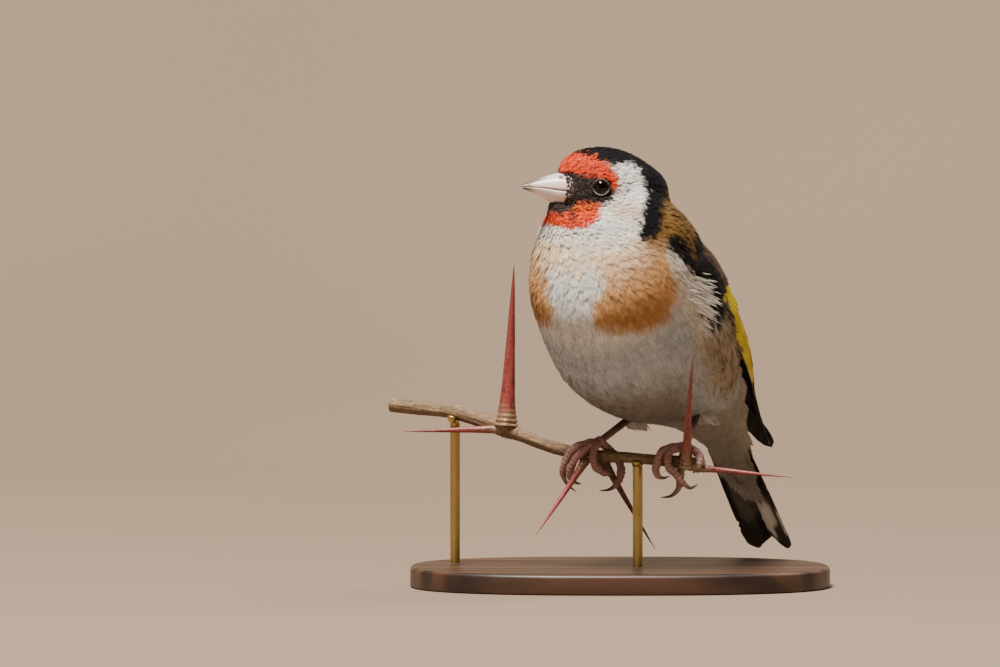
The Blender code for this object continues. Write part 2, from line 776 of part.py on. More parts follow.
def tail_vane(row, pair, side):
    root_aside, tip_aside, tip, half = row
    drop = -RECTRIX_STEP * (pair + (RECTRIX_STAGGER if side < 0 else 0.0))
    rings = []
    for share, width in VANE_LONG:
        k = RECTRIX_ROOT + (tip - RECTRIX_ROOT) * share
        aside = root_aside + (tip_aside - root_aside) * share
        w = half * width
        thin = VANE_THICKNESS * (0.55 if share == 1.0 else 1.0) / 2
        bend = -0.035 * aside * abs(aside)
        rings.append(
            [
                tail_point(k, side * (aside - w), drop + bend + thin),
                tail_point(k, side * (aside + w), drop + bend + thin - 0.12),
                tail_point(k, side * (aside + w), drop + bend - thin - 0.12),
                tail_point(k, side * (aside - w), drop + bend - thin),
            ]
        )
    return loft("rectrix", rings)


def tail_feathers():
    return [
        tail_vane(row, pair, side)
        for pair, row in enumerate(RECTRICES)
        for side in (1, -1)
    ]


def twig_frame(x):
    ahead = twig_point(x + 0.5) - twig_point(x - 0.5)
    run = ahead / np.linalg.norm(ahead)
    front = np.cross(run, UP)
    front /= np.linalg.norm(front)
    return twig_point(x), run, front, np.cross(front, run)


def by_twig(x, front, rise):
    """A point beside the twig's line at x."""
    middle, _, forward, up = twig_frame(x)
    return middle + forward * front + up * rise


def toe(x, points):
    knots = [(k, *point, radius) for k, (point, radius) in enumerate(zip(points, TOE_RADII))]
    path, radii = [], []
    for k in np.linspace(0, len(points) - 1, TOE_STATIONS):
        slide, front, rise, radius = along(knots, k)
        path.append(by_twig(x + slide, front, rise))
        radii.append(radius)
    return tube("toe", path, radii, sides=7, hint=twig_frame(x)[1])


def foot(name, side):
    x = LEGS[side][2]
    pieces = [ball("hub", by_twig(x, *HUBS[side]), HUB_RADIUS, 7, 10)]
    pieces += [toe(x, points) for points in TOES[side]]
    return fuse(name, pieces)


def leg(name, side, grow=0.0):
    """The bare part of a leg, its upper end inside the thigh; grown, it is the room cut for it."""
    start, heel, x = LEGS[side]
    start, heel = np.array(start), np.array(heel)
    hub = by_twig(x, *HUBS[side])
    down = (hub - heel) / np.linalg.norm(hub - heel)
    up = (start - heel) / np.linalg.norm(start - heel)
    end = hub - down * LEG_END
    path = [heel + up * (4.0 + grow), heel + up * 1.4, heel, heel + down * 1.4, (heel + end) / 2, end]
    radii = [r + grow for r in (0.8, 0.85, 0.9, 0.76, TARSUS_RADIUS, TARSUS_RADIUS)]
    return tube(name, path, radii, sides=10, hint=LEFT)


def thorn(row):
    root, middle, tip, radius = row
    root, middle, tip = np.array(root), np.array(middle), np.array(tip)
    path, radii = [], []
    for share in (0.0, 0.06, 0.14, 0.3, 0.5, 0.75, 1.0):
        curve = root * (1 - share) ** 2 + 2 * share * (1 - share) * (
            2 * middle - (root + tip) / 2
        ) + tip * share**2
        path.append(curve)
        radii.append(max(radius * (1 - share) ** 0.75 * (0.7 + 0.3 * (1 - share) ** 8), 0.1))
    return tube("thorn", path, radii, sides=8)


def perch():
    xs = [row[0] for row in TWIG]
    middle = [(a + b) / 2 for a, b in zip(xs, xs[1:])]
    xs = sorted(xs + middle)
    twig = tube("perch", [twig_point(x) for x in xs], [along(TWIG, x)[1] for x in xs], sides=10)
    return fuse("perch", [twig] + [thorn(row) for row in THORNS])


def stand_base():
    rings = []
    half_x, half_y = BASE_SIZE[0] / 2, BASE_SIZE[1] / 2
    for z, inset in (
        (0.0, BASE_EDGE * 0.5),
        (BASE_EDGE * 0.5, 0.0),
        (BASE_HEIGHT - BASE_EDGE, 0.0),
        (BASE_HEIGHT - BASE_EDGE * 0.3, BASE_EDGE * 0.3),
        (BASE_HEIGHT, BASE_EDGE),
    ):
        rings.append(
            [
                np.array([c * (half_x - inset), s * (half_y - inset), z])
                for c, s in round_section(36, 2.6)
            ]
        )
    return loft("stand_base", rings)


def rod(name, x):
    middle = twig_point(x)
    radius = along(TWIG, x)[1]
    top = middle[2] - radius - ROD_CLEARANCE
    foot_z = BASE_HEIGHT + GAP
    path = [np.array([middle[0], middle[1], z]) for z in (foot_z, (foot_z + top) / 2, top)]
    return tube(name, path, [ROD_RADIUS] * 3, sides=16, hint=LEFT)


def main():
    clear_scene()
    torso = body_whole()
    torso.name = "torso"
    torso, head_and_neck = cut_off(torso, "neck", *unit_cut(NECK_FOOT_CUT))
    neck, head = cut_off(head_and_neck, "head", *unit_cut(NECK_TOP_CUT))
    tail, torso = cut_off(torso, "trunk", body_point(TAIL_CUT_ALONG, 0, 0), AXIS)
    tail.name, torso.name = "tail", "torso"
    fuse("tail", [tail] + tail_feathers())
    fuse("head", [head, lid(1), lid(-1)])
    carve(head, [ball("socket", eye_place(s)[0], EYE_RADIUS + GAP, 7, 12, eye_place(s)[1]) for s in (1, -1)])
    carve(head, [bill_room(True)])
    carve(head, [bill_room(False)])
    fuse("torso", [torso, thigh("right"), thigh("left")])
    carve(torso, [leg("cut", side, GAP * 1.4) for side in ("right", "left")])
    carve(torso, [wing_pad(side, GAP, WING_ROOM, WING_RIM) for side in (1, -1)])
    bill_upper()
    bill_lower()
    eye("eye_left", 1)
    eye("eye_right", -1)
    wing("wing_left", 1)
    wing("wing_right", -1)
    for side in ("left", "right"):
        leg("leg_" + side, side)
        foot("foot_" + side, side)
    perch()
    stand_base()
    for name, x in RODS.items():
        rod(name, x)
    finish_nodes()


def linear(code):
    """Scene-linear colour of a hex code."""
    values = [int(code[k : k + 2], 16) / 255 for k in (1, 3, 5)]
    return [v / 12.92 if v <= 0.04045 else ((v + 0.055) / 1.055) ** 2.4 for v in values]


def finish_nodes():
    for name, (colour, roughness, metal) in FINISHES.items():
        material = bpy.data.materials.new(name + "_finish")
        material.use_nodes = True
        shader = material.node_tree.nodes["Principled BSDF"]
        shader.inputs["Base Color"].default_value = (*linear(colour), 1)
        shader.inputs["Roughness"].default_value = roughness
        shader.inputs["Metallic"].default_value = metal
        mesh = bpy.data.objects[name].data
        mesh.name = name
        mesh.materials.clear()
        mesh.materials.append(material)
        mesh.shade_smooth()
        mesh.set_sharp_from_angle(angle=SHARP_ANGLE)


def unit_cut(cut):
    point, normal = np.array(cut[0]), np.array(cut[1])
    return point, normal / np.linalg.norm(normal)


main()
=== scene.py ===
"""Looks of a European goldfinch that sits on a cut length of thorny twig, over a plain display stand.

Lengths are in millimetres and become metres through MM. The tables repeat those of the solids, so every
piece sits where its solid does. The front view looks along +Y, with +Z up.
"""

import math

import bmesh
import bpy
import numpy as np
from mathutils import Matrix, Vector
from mathutils.bvhtree import BVHTree
from mathutils.kdtree import KDTree


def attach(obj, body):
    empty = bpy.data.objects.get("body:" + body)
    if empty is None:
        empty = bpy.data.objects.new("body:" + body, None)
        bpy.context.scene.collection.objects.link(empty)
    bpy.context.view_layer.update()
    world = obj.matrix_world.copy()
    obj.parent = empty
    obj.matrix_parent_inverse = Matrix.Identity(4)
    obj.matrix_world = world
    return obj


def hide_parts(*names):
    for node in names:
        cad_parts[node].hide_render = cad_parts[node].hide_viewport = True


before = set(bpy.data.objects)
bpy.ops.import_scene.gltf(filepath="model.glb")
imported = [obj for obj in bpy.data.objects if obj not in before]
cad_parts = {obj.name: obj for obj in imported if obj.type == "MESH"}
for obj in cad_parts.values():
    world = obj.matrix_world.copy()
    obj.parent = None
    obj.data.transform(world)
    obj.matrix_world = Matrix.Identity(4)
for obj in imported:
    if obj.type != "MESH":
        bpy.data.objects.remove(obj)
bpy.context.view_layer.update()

MM = 0.001
BODY = "root"
CHANCE = np.random.default_rng(7)

# Pose: turns from the viewer towards the bird's right, rises from the level.
BODY_TURN, BODY_RISE = math.radians(28.5), math.radians(50)
TAIL_TURN, TAIL_RISE = math.radians(26.5), math.radians(45)
HEAD_TURN, HEAD_RISE = math.radians(75), math.radians(2)
UP = np.array([0.0, 0.0, 1.0])


def facing(turn, rise):
    """Unit vector that points forward at this turn and rise."""
    level = np.array([-math.sin(turn), -math.cos(turn), 0.0])
    return level * math.cos(rise) + UP * math.sin(rise)


def unit(vectors):
    vectors = np.asarray(vectors, float)
    return vectors / np.maximum(np.linalg.norm(vectors, axis=-1, keepdims=True), 1e-9)


LEFT = np.cross(UP, facing(BODY_TURN, 0))
AXIS = facing(BODY_TURN, BODY_RISE)
BACK = np.cross(AXIS, LEFT)
TAIL_AXIS = facing(TAIL_TURN, TAIL_RISE)
TAIL_LEFT = np.cross(UP, facing(TAIL_TURN, 0))
TAIL_BACK = np.cross(TAIL_AXIS, TAIL_LEFT)
HEAD_AXIS = facing(HEAD_TURN, HEAD_RISE)
HEAD_LEFT = np.cross(UP, facing(HEAD_TURN, 0))
HEAD_UP = np.cross(HEAD_AXIS, HEAD_LEFT)

TORSO_CENTRE = np.array([3.0, -8.0, 56.0])
HEAD_CENTRE = np.array([-1.6, -16.5, 79.2])
TAIL_ROOT_ALONG = -30.0
TAIL_ROOT_BACK = 13.0

# Torso sections: along the axis, shift to the back, half width, depth to the back, depth to the belly.
TORSO = (
    (-57, 15.2, 2.6, 0.7, 1.0),
    (-50, 14.3, 4.3, 1.6, 3.4),
    (-42, 12.8, 6.2, 3.2, 6.0),
    (-34, 10.8, 8.8, 5.8, 9.2),
    (-27, 7.5, 11.6, 9.0, 12.0),
    (-21, 3.5, 14.0, 12.6, 13.9),
    (-15, 1.0, 16.2, 14.8, 16.0),
    (-8, 0.0, 17.6, 15.8, 18.9),
    (0, 0.0, 18.0, 15.6, 20.6),
    (8, 0.0, 17.6, 14.4, 21.0),
    (15, 0.0, 16.8, 12.2, 20.2),
    (21, 1.0, 14.4, 9.6, 16.0),
    (27, 2.6, 9.0, 6.0, 8.0),
)
TORSO_FULLNESS = 2.2

# Head sections: forward from the head's centre, lift, half width, height above, depth below.
HEAD = (
    (-11.2, -0.6, 1.8, 1.9, 1.8),
    (-10.0, -0.3, 4.6, 3.6, 4.0),
    (-8.0, 0.0, 6.6, 4.9, 6.4),
    (-5.0, 0.0, 8.0, 6.8, 8.2),
    (-1.5, 0.0, 8.5, 8.3, 8.6),
    (2.0, 0.0, 8.3, 8.9, 8.6),
    (5.0, 0.0, 7.5, 8.7, 8.4),
    (8.0, 0.0, 5.2, 7.9, 8.4),
    (9.3, -0.2, 4.2, 7.5, 8.0),
    (10.5, -0.4, 3.5, 6.7, 7.4),
    (11.5, -1.2, 3.2, 5.6, 6.4),
    (12.4, -3.4, 2.9, 3.2, 3.9),
    (13.3, -4.9, 1.6, 1.3, 1.8),
)
HEAD_FULLNESS = 2.15

# Neck sections: share of the way from torso to head, half width, half depth.
NECK = (
    (0.0, 16.0, 14.0),
    (0.35, 15.2, 13.6),
    (0.6, 13.0, 12.2),
    (0.8, 10.9, 11.0),
    (1.0, 7.5, 8.6),
)
NECK_FOOT_ALONG = 10.0
NECK_HEAD_SHIFT = np.array([0.6, 0.8, -1.0])

# Bill: forward from the head's centre, ridge, cutting edge, lower edge, half width.
BILL = (
    (8.0, 3.9, -0.55, -3.9, 4.35),
    (10.5, 3.5, -0.3, -3.4, 3.8),
    (12.2, 3.05, 0.0, -2.8, 3.0),
    (14.7, 2.3, 0.2, -1.65, 2.0),
    (17.2, 1.35, 0.3, -0.55, 1.1),
    (18.5, 0.8, 0.3, -0.15, 0.55),
    (19.5, 0.4, 0.22, 0.1, 0.16),
)
BILL_LOWER_END = 18.4
BILL_MOUTH_GAP = 0.3
NOSTRIL = (11.4, 1.9, 2.5, 0.42)

EYE = (4.15, 5.95, 0.7)
EYE_RADIUS = 2.0
EYE_LOOK = (0.30, 0.95, 0.05)
LID_REACH = 1.5
LID_RADIUS = 1.62

# Folded wing rows: distance along, then along, aside and back of the body for its lower edge,
# its middle and its upper edge.
WING = (
    (-4, 13.0, 14.6, -1.2, 11.6, 13.0, 5.6, 8.6, 8.2, 12.2),
    (0, 10.6, 15.8, -0.4, 9.6, 13.6, 6.8, 6.4, 8.0, 13.2),
    (20, -5.0, 16.7, 2.4, -4.8, 14.2, 10.3, -6.2, 6.8, 15.3),
    (40, -22.4, 14.0, 7.8, -21.8, 11.2, 14.0, -22.4, 4.4, 17.6),
    (60, -40.6, 8.2, 15.0, -40.6, 5.8, 18.0, -40.6, 2.6, 20.4),
    (78, -58.0, 4.6, 19.6, -58.0, 3.0, 22.0, -58.0, 1.4, 24.2),
)
RIGHT_TIP_FROM, RIGHT_TIP_SHIFT = 30.0, 3.2
WING_PAD_DEPTH = 1.7
WING_PAD_REACH = 52.0
ROOT_LIFT = 0.35
VANE_TILT = 0.3

# Wing feathers, from the lowest in the stack up: root along and across, tip along and across,
# half width, lift.
PRIMARIES = (
    (8, 1.2, 76.6, 2.4, 1.7, 0.00),
    (8, 1.6, 75.8, 2.9, 1.8, 0.12),
    (8, 2.2, 73.6, 3.4, 1.9, 0.24),
    (8, 2.9, 70.2, 3.9, 2.0, 0.36),
    (8, 3.6, 66.6, 4.5, 2.0, 0.48),
    (8, 4.3, 63.0, 5.1, 2.1, 0.60),
    (8, 5.0, 59.4, 5.7, 2.1, 0.72),
)
SECONDARIES = (
    (9, 5.8, 54.6, 6.2, 2.4, 0.84),
    (9, 7.0, 53.0, 7.2, 2.5, 0.96),
    (10, 8.2, 51.6, 8.3, 2.5, 1.08),
    (10, 9.6, 50.2, 9.4, 2.6, 1.20),
    (10, 11.0, 48.8, 10.6, 2.6, 1.32),
)
TERTIALS = (
    (12, 12.2, 51.0, 9.8, 3.2, 1.48),
    (12, 14.0, 45.0, 12.0, 3.3, 1.64),
    (12, 15.4, 38.0, 13.8, 3.2, 1.80),
)
PRIMARY_COVERTS = (
    (5, 1.0, 25.0, 1.4, 1.1, 0.70),
    (5, 1.8, 23.4, 2.5, 1.1, 0.85),
    (3, 0.9, 17.6, 1.2, 1.2, 1.00),
)
GREATER_COVERTS = (
    (7, 3.2, 24.4, 4.2, 1.7, 1.00),
    (7, 5.2, 25.6, 6.3, 1.8, 1.12),
    (7, 7.4, 26.4, 8.6, 1.9, 1.24),
    (7, 9.8, 26.8, 10.9, 1.9, 1.36),
    (7, 12.2, 26.6, 13.2, 1.9, 1.48),
    (7, 14.4, 25.8, 15.3, 1.9, 1.60),
)
MEDIAN_COVERTS = (
    (1, 3.2, 14.8, 3.8, 1.9, 1.30),
    (1, 6.1, 15.8, 6.9, 2.0, 1.42),
    (1, 9.0, 16.4, 10.0, 2.1, 1.54),
    (1, 11.8, 16.4, 13.0, 2.1, 1.66),
    (1, 14.6, 15.6, 15.6, 1.9, 1.78),
)

# Tail feathers of one side from the middle out: root aside, tip aside, tip along, half width.
RECTRICES = (
    (0.6, 0.8, 48.6, 2.1),
    (1.0, 1.2, 48.8, 2.1),
    (1.4, 1.7, 49.1, 2.1),
    (1.8, 2.2, 49.4, 2.1),
    (2.2, 2.7, 49.7, 2.0),
    (2.6, 3.2, 50.2, 2.0),
)
RECTRIX_ROOT = 6.0
RECTRIX_STEP = 0.22
RECTRIX_STAGGER = 0.45

# Legs: start inside the body, heel, and the foot's place along the twig.
LEGS = {
    "right": ((1.0, 4.0, 42.0), (2.4, 2.5, 33.7), -4.4),
    "left": ((13.6, -2.5, 43.0), (15.6, -1.6, 35.2), 12.6),
}
TARSUS_RADIUS = 0.72
THIGH_RADII = (5.5, 4.6, 3.0, 1.7)
HUBS = {"right": (0.1, 2.9), "left": (0.1, 3.4)}
TOES = {
    "right": (
        ((0, 0.3, 2.8), (-2.1, 1.9, 2.4), (-4.4, 2.4, 1.0), (-5.3, 2.35, -1.0),
         (-5.7, 1.9, -3.0), (-5.7, 1.3, -4.6), (-4.8, 0.9, -6.3), (-3.4, 0.5, -7.5)),
        ((0, 0.5, 2.8), (-1.3, 2.3, 1.9), (-3.2, 2.75, -0.1), (-4.2, 2.45, -2.3),
         (-4.5, 1.75, -4.1), (-4.1, 1.0, -5.2), (-3.5, 0.4, -5.8), (-2.7, 0.1, -5.9)),
        ((0, 0.6, 2.8), (-0.2, 2.3, 1.6), (-0.2, 2.7, -0.2), (0.2, 2.4, -1.7),
         (1.2, 1.8, -2.8), (2.0, 1.1, -3.3), (2.6, 0.5, -3.7), (3.2, -0.1, -4.2)),
        ((0, -0.2, 2.8), (1.5, -1.8, 1.5), (3.0, -2.4, -0.3), (3.9, -2.2, -2.2),
         (4.0, -1.4, -4.2), (3.4, -0.3, -5.7), (2.4, 0.6, -6.5), (0.8, 1.0, -6.8)),
    ),
    "left": (
        ((0, 0.3, 3.3), (-2.6, 1.9, 2.8), (-4.0, 2.5, 1.6), (-4.5, 2.6, -0.1),
         (-4.9, 2.1, -1.8), (-4.5, 1.5, -3.1), (-3.5, 0.8, -3.4), (-2.5, 0.2, -2.9)),
        ((0, 0.5, 3.3), (-2.1, 2.3, 2.3), (-2.5, 2.7, 0.5), (-2.1, 2.7, -1.0),
         (-0.7, 2.4, -2.3), (0.5, 1.8, -3.7), (2.0, 1.4, -4.7), (3.4, 1.2, -3.8)),
        ((0.2, 0.2, 3.3), (1.4, 0.2, 2.9), (2.6, 0.8, 2.3), (3.3, 1.6, 1.7),
         (3.7, 2.4, 1.1), (3.8, 3.0, 0.3), (3.7, 3.2, -0.6), (3.5, 3.1, -1.5)),
        ((0, -0.2, 3.3), (-0.8, -1.9, 2.1), (-1.2, -2.5, 0.2), (-1.2, -2.3, -1.8),
         (-0.9, -1.3, -3.5), (-0.8, -0.4, -5.2), (-1.9, 0.2, -6.8), (-4.0, 0.5, -7.4)),
    ),
}
TOE_RADII = (0.85, 0.8, 0.8, 0.8, 0.78, 0.56, 0.38, 0.11)

# Twig: across and up for its centre line, and its radius there.
TWIG = (
    (-46.0, 36.0, 1.45),
    (-40.8, 35.5, 1.45),
    (-34.0, 34.8, 1.42),
    (-29.2, 33.6, 1.45),
    (-24.2, 31.9, 1.65),
    (-20.0, 30.4, 1.35),
    (-16.0, 28.8, 1.25),
    (-12.6, 27.7, 1.2),
    (-9.0, 26.8, 1.2),
    (-4.6, 26.3, 1.2),
    (1.2, 26.05, 1.04),
    (6.4, 25.8, 1.04),
    (12.0, 25.3, 1.25),
    (16.5, 24.8, 1.1),
)
TWIG_DEPTH = -9.0
TWIG_PIVOT = 3.0
TWIG_SLANT = -0.33
THORNS = (
    ((-22.8, -0.6, 32.0), (-22.0, -0.8, 46.6), (-21.2, -2.0, 64.4), 2.4),
    ((-22.6, -0.8, 31.4), (-32.5, -0.4, 31.2), (-43.0, 1.0, 30.8), 1.25),
    ((-6.6, -6.5, 26.0), (-11.5, -13.2, 18.9), (-16.8, -21.0, 11.6), 1.15),
    ((-3.4, -5.8, 25.4), (1.4, -3.2, 17.0), (7.0, -0.4, 7.4), 1.15),
    ((13.0, -14.0, 24.6), (13.2, -18.6, 34.4), (14.0, -25.0, 46.8), 1.5),
    ((14.4, -13.6, 24.4), (23.0, -15.0, 23.6), (34.0, -17.0, 22.6), 1.1),
)

BASE_SIZE = (84.0, 58.0)
BASE_HEIGHT = 4.0
BASE_EDGE = 0.8
RODS = {"stand_rod_left": -33.0, "stand_rod_right": 3.4}

# Camera: the photograph shows 0.2 m across at the bird, seen level from afar.
CAMERA_DISTANCE = 1.5
CAMERA_RISE = math.radians(2)
CAMERA_AIM = Vector((-0.024, 0.0, 0.0505))
FRAME_WIDTH = 0.2
SENSOR = 36.0


def along(table, x):
    """Rows of a table at x, on a smooth curve through them; x may be an array."""
    rows = np.asarray(table, float)
    knots, values = rows[:, 0], rows[:, 1:]
    slopes = np.gradient(values, knots, axis=0)
    x = np.clip(np.asarray(x, float), knots[0], knots[-1])
    i = np.clip(np.searchsorted(knots, x) - 1, 0, len(knots) - 2)
    h = knots[i + 1] - knots[i]
    s = ((x - knots[i]) / h)[..., None]
    h = h[..., None]
    start = (1 + 2 * s) * (1 - s) ** 2 * values[i] + s * (1 - s) ** 2 * h * slopes[i]
    end = s * s * (3 - 2 * s) * values[i + 1] + s * s * (s - 1) * h * slopes[i + 1]
    return start + end


def ease(x, start, end):
    """0 before start, 1 after end, smooth between."""
    s = np.clip((np.asarray(x, float) - start) / (end - start), 0, 1)
    return s * s * (3 - 2 * s)


def place(origin, ahead, aside, above, forward, left, up):
    parts = zip((forward, left, up), (ahead, aside, above))
    return origin + sum(np.asarray(k, float)[..., None] * axis for k, axis in parts)


def body_point(t, left, back):
    return place(TORSO_CENTRE, AXIS, LEFT, BACK, t, left, back)


def tail_point(k, left, back):
    root = body_point(TAIL_ROOT_ALONG, 0, TAIL_ROOT_BACK)
    return place(root, -TAIL_AXIS, TAIL_LEFT, TAIL_BACK, k, left, back)


def head_point(forward, left, up):
    return place(HEAD_CENTRE, HEAD_AXIS, HEAD_LEFT, HEAD_UP, forward, left, up)


def head_coords(points):
    away = points - HEAD_CENTRE
    return away @ HEAD_AXIS, away @ HEAD_LEFT, away @ HEAD_UP


def body_coords(points):
    away = points - TORSO_CENTRE
    return away @ AXIS, away @ LEFT, away @ BACK


def round_section(sides, fullness):
    """Unit (across, up) pairs round a section that is a little fuller than an ellipse."""
    turn = np.arange(sides) * 2 * math.pi / sides
    power = 2 / fullness
    across, up = np.cos(turn), np.sin(turn)
    return np.sign(across) * abs(across) ** power, np.sign(up) * abs(up) ** power


def new_object(name, points, faces):
    """A mesh object at the origin from points in millimetres and an array of faces of one size."""
    points, faces = np.asarray(points, np.float32) * MM, np.asarray(faces, np.int32)
    mesh = bpy.data.meshes.new(name)
    mesh.vertices.add(len(points))
    mesh.vertices.foreach_set("co", points.ravel())
    mesh.loops.add(faces.size)
    mesh.loops.foreach_set("vertex_index", faces.ravel())
    mesh.polygons.add(len(faces))
    mesh.polygons.foreach_set("loop_start", np.arange(0, faces.size, faces.shape[1], dtype=np.int32))
    mesh.update(calc_edges=True)
    mesh.shade_smooth()
    obj = bpy.data.objects.new(name, mesh)
    bpy.context.scene.collection.objects.link(obj)
    return obj


def points_of(obj):
    flat = np.zeros(len(obj.data.vertices) * 3, np.float32)
    obj.data.vertices.foreach_get("co", flat)
    return flat.reshape(-1, 3).astype(float) / MM


def normals_of(obj):
    flat = np.zeros(len(obj.data.vertices) * 3, np.float32)
    obj.data.vertices.foreach_get("normal", flat)
    return flat.reshape(-1, 3).astype(float)


def move_points(obj, points):
    obj.data.vertices.foreach_set("co", (points * MM).astype(np.float32).ravel())
    obj.data.update()


def outward(obj):
    """Merges doubles and turns every face outwards."""
    bm = bmesh.new()
    bm.from_mesh(obj.data)
    bmesh.ops.remove_doubles(bm, verts=bm.verts, dist=1e-7)
    bmesh.ops.recalc_face_normals(bm, faces=bm.faces)
    bm.to_mesh(obj.data)
    bm.free()
    obj.data.shade_smooth()
    return obj


def loft_arrays(rings, closed_ends=True):
    """Points and quads of a skin over rings (rows, sides, 3), with fans as quads at its ends."""
    rings = np.asarray(rings, float)
    rows, sides = rings.shape[:2]
    points = rings.reshape(-1, 3)
    r, k = np.meshgrid(np.arange(rows - 1), np.arange(sides), indexing="ij")
    a, b = r * sides + k, r * sides + (k + 1) % sides
    faces = np.stack([a, b, b + sides, a + sides], -1).reshape(-1, 4)
    tris = np.concatenate([faces[:, [0, 1, 2]], faces[:, [0, 2, 3]]])
    if closed_ends:
        points = np.concatenate([points, [rings[0].mean(0), rings[-1].mean(0)]])
        k = np.arange(sides)
        first, last, base = rows * sides, rows * sides + 1, (rows - 1) * sides
        low = np.stack([np.full(sides, first), (k + 1) % sides, k], -1)
        high = np.stack([np.full(sides, last), base + k, base + (k + 1) % sides], -1)
        tris = np.concatenate([tris, low, high])
    return points, tris


def loft(name, rings):
    return outward(new_object(name, *loft_arrays(rings)))


def path_frames(path, hint):
    """Tangents, side and up directions along a path, kept as level with the hint as it allows."""
    ahead = unit(np.gradient(path, axis=0))
    side = unit(np.cross(ahead, hint))
    for i in range(1, len(side)):
        turned = side[i - 1] - ahead[i] * (side[i - 1] @ ahead[i])
        side[i] = unit(turned)
    return ahead, side, np.cross(side, ahead)


def tube_rings(path, radii, sides, hint=UP):
    path = np.asarray(path, float)
    _, side, rise = path_frames(path, np.asarray(hint, float))
    turn = np.arange(sides) * 2 * math.pi / sides
    radii = np.asarray(radii, float)[:, None, None]
    return path[:, None] + radii * (
        side[:, None] * np.cos(turn)[None, :, None] + rise[:, None] * np.sin(turn)[None, :, None]
    )


def join(name, objects):
    """One object from several; the first one's place and settings stay."""
    for obj in bpy.context.selected_objects:
        obj.select_set(False)
    for obj in objects:
        obj.select_set(True)
    bpy.context.view_layer.objects.active = objects[0]
    if len(objects) > 1:
        bpy.ops.object.join()
    objects[0].name = name
    objects[0].data.name = name
    return objects[0]


def settle(obj):
    """Applies every modifier and leaves a plain mesh."""
    graph = bpy.context.evaluated_depsgraph_get()
    mesh = bpy.data.meshes.new_from_object(obj.evaluated_get(graph))
    obj.modifiers.clear()
    old = obj.data
    obj.data = mesh
    bpy.data.meshes.remove(old)
    return obj


def fused(name, objects, voxel, rounds):
    """One smooth closed skin round overlapping closed forms."""
    obj = join(name, objects)
    remesh = obj.modifiers.new("remesh", "REMESH")
    remesh.mode = "VOXEL"
    remesh.voxel_size = voxel * MM
    soften = obj.modifiers.new("soften", "SMOOTH")
    soften.factor = 0.5
    soften.iterations = rounds
    settle(obj)
    obj.data.shade_smooth()
    return obj


class Surface:
    """Finds the nearest place on a mesh, with the smooth outward direction there."""

    def __init__(self, obj):
        self.points, self.normals = points_of(obj), normals_of(obj)
        faces = [tuple(p.vertices) for p in obj.data.polygons]
        self.faces = np.array([f if len(f) == 4 else (*f, f[-1]) for f in faces])
        self.tree = BVHTree.FromPolygons([Vector(p) for p in self.points], faces)

    def nearest(self, places):
        spots = np.empty_like(places)
        faces = np.empty(len(places), int)
        for i, place_ in enumerate(places):
            spot, _, face, _ = self.tree.find_nearest(Vector(place_))
            spots[i] = spot
            faces[i] = face
        corners = self.faces[faces]
        near = 1 / (np.linalg.norm(self.points[corners] - spots[:, None], axis=-1) + 0.02)
        normals = unit((self.normals[corners] * near[..., None]).sum(1))
        return spots, normals


def linear(code):
    """Linear red, green and blue of a hex sRGB colour."""
    parts = [int(code[i : i + 2], 16) / 255 for i in (1, 3, 5)]
    return np.array([p / 12.92 if p <= 0.04045 else ((p + 0.055) / 1.055) ** 2.4 for p in parts])


def rgba(code):
    return (*linear(code), 1.0)


def add_node(tree, kind, inputs=None, stops=None, **settings):
    """Adds a node. Inputs maps sockets to values or to other nodes' outputs; stops fill its ramp."""
    made = tree.nodes.new(kind)
    for name, value in settings.items():
        setattr(made, name, value)
    for key, value in (inputs or {}).items():
        socket = made.inputs[key]
        if isinstance(value, bpy.types.NodeSocket):
            tree.links.new(value, socket)
        else:
            socket.default_value = value
    if stops:
        ramp = made.color_ramp
        while len(ramp.elements) < len(stops):
            ramp.elements.new(0.5)
        for element, (at, colour) in zip(ramp.elements, stops):
            element.position = at
            element.color = rgba(colour) if isinstance(colour, str) else (colour, colour, colour, 1)
    return made


def new_material(name):
    material = bpy.data.materials.new(name)
    material.use_nodes = True
    tree = material.node_tree
    tree.nodes.clear()
    output = add_node(tree, "ShaderNodeOutputMaterial")
    shader = add_node(tree, "ShaderNodeBsdfPrincipled")
    tree.links.new(shader.outputs[0], output.inputs[0])
    place_ = add_node(tree, "ShaderNodeTexCoord").outputs["Object"]
    return material, tree, shader, place_


def per_mm(size):
    """Noise scale for a pattern whose marks are about this many millimetres apart."""
    return 1 / (size * MM)


def feather_material(name, attribute, barb_gap, roughness, sheen):
    """Keratin barbs, matt and a little silky; fine light and dark hairs run through each colour."""
    material, tree, shader, place_ = new_material(name)
    paint = add_node(tree, "ShaderNodeAttribute", attribute_name=attribute)
    mottle = add_node(
        tree, "ShaderNodeTexNoise", {"Vector": place_, "Scale": per_mm(1.6), "Detail": 4.0}
    )
    shade = add_node(
        tree, "ShaderNodeMapRange",
        {"Value": mottle.outputs["Fac"], "From Min": 0.3, "From Max": 0.7, "To Min": 0.86, "To Max": 1.1},
    )
    toned = add_node(
        tree, "ShaderNodeVectorMath", {0: paint.outputs["Color"], 1: shade.outputs[0]},
        operation="MULTIPLY",
    )
    tree.links.new(toned.outputs[0], shader.inputs["Base Color"])
    barbs = add_node(
        tree, "ShaderNodeTexNoise", {"Vector": place_, "Scale": per_mm(barb_gap), "Detail": 2.0}
    )
    bump = add_node(
        tree, "ShaderNodeBump", {"Height": barbs.outputs["Fac"], "Strength": 0.25, "Distance": 0.08 * MM}
    )
    tree.links.new(bump.outputs[0], shader.inputs["Normal"])
    shader.inputs["Roughness"].default_value = roughness
    shader.inputs["Sheen Weight"].default_value = sheen
    shader.inputs["Sheen Roughness"].default_value = 0.5
    shader.inputs["Specular IOR Level"].default_value = 0.12
    return material


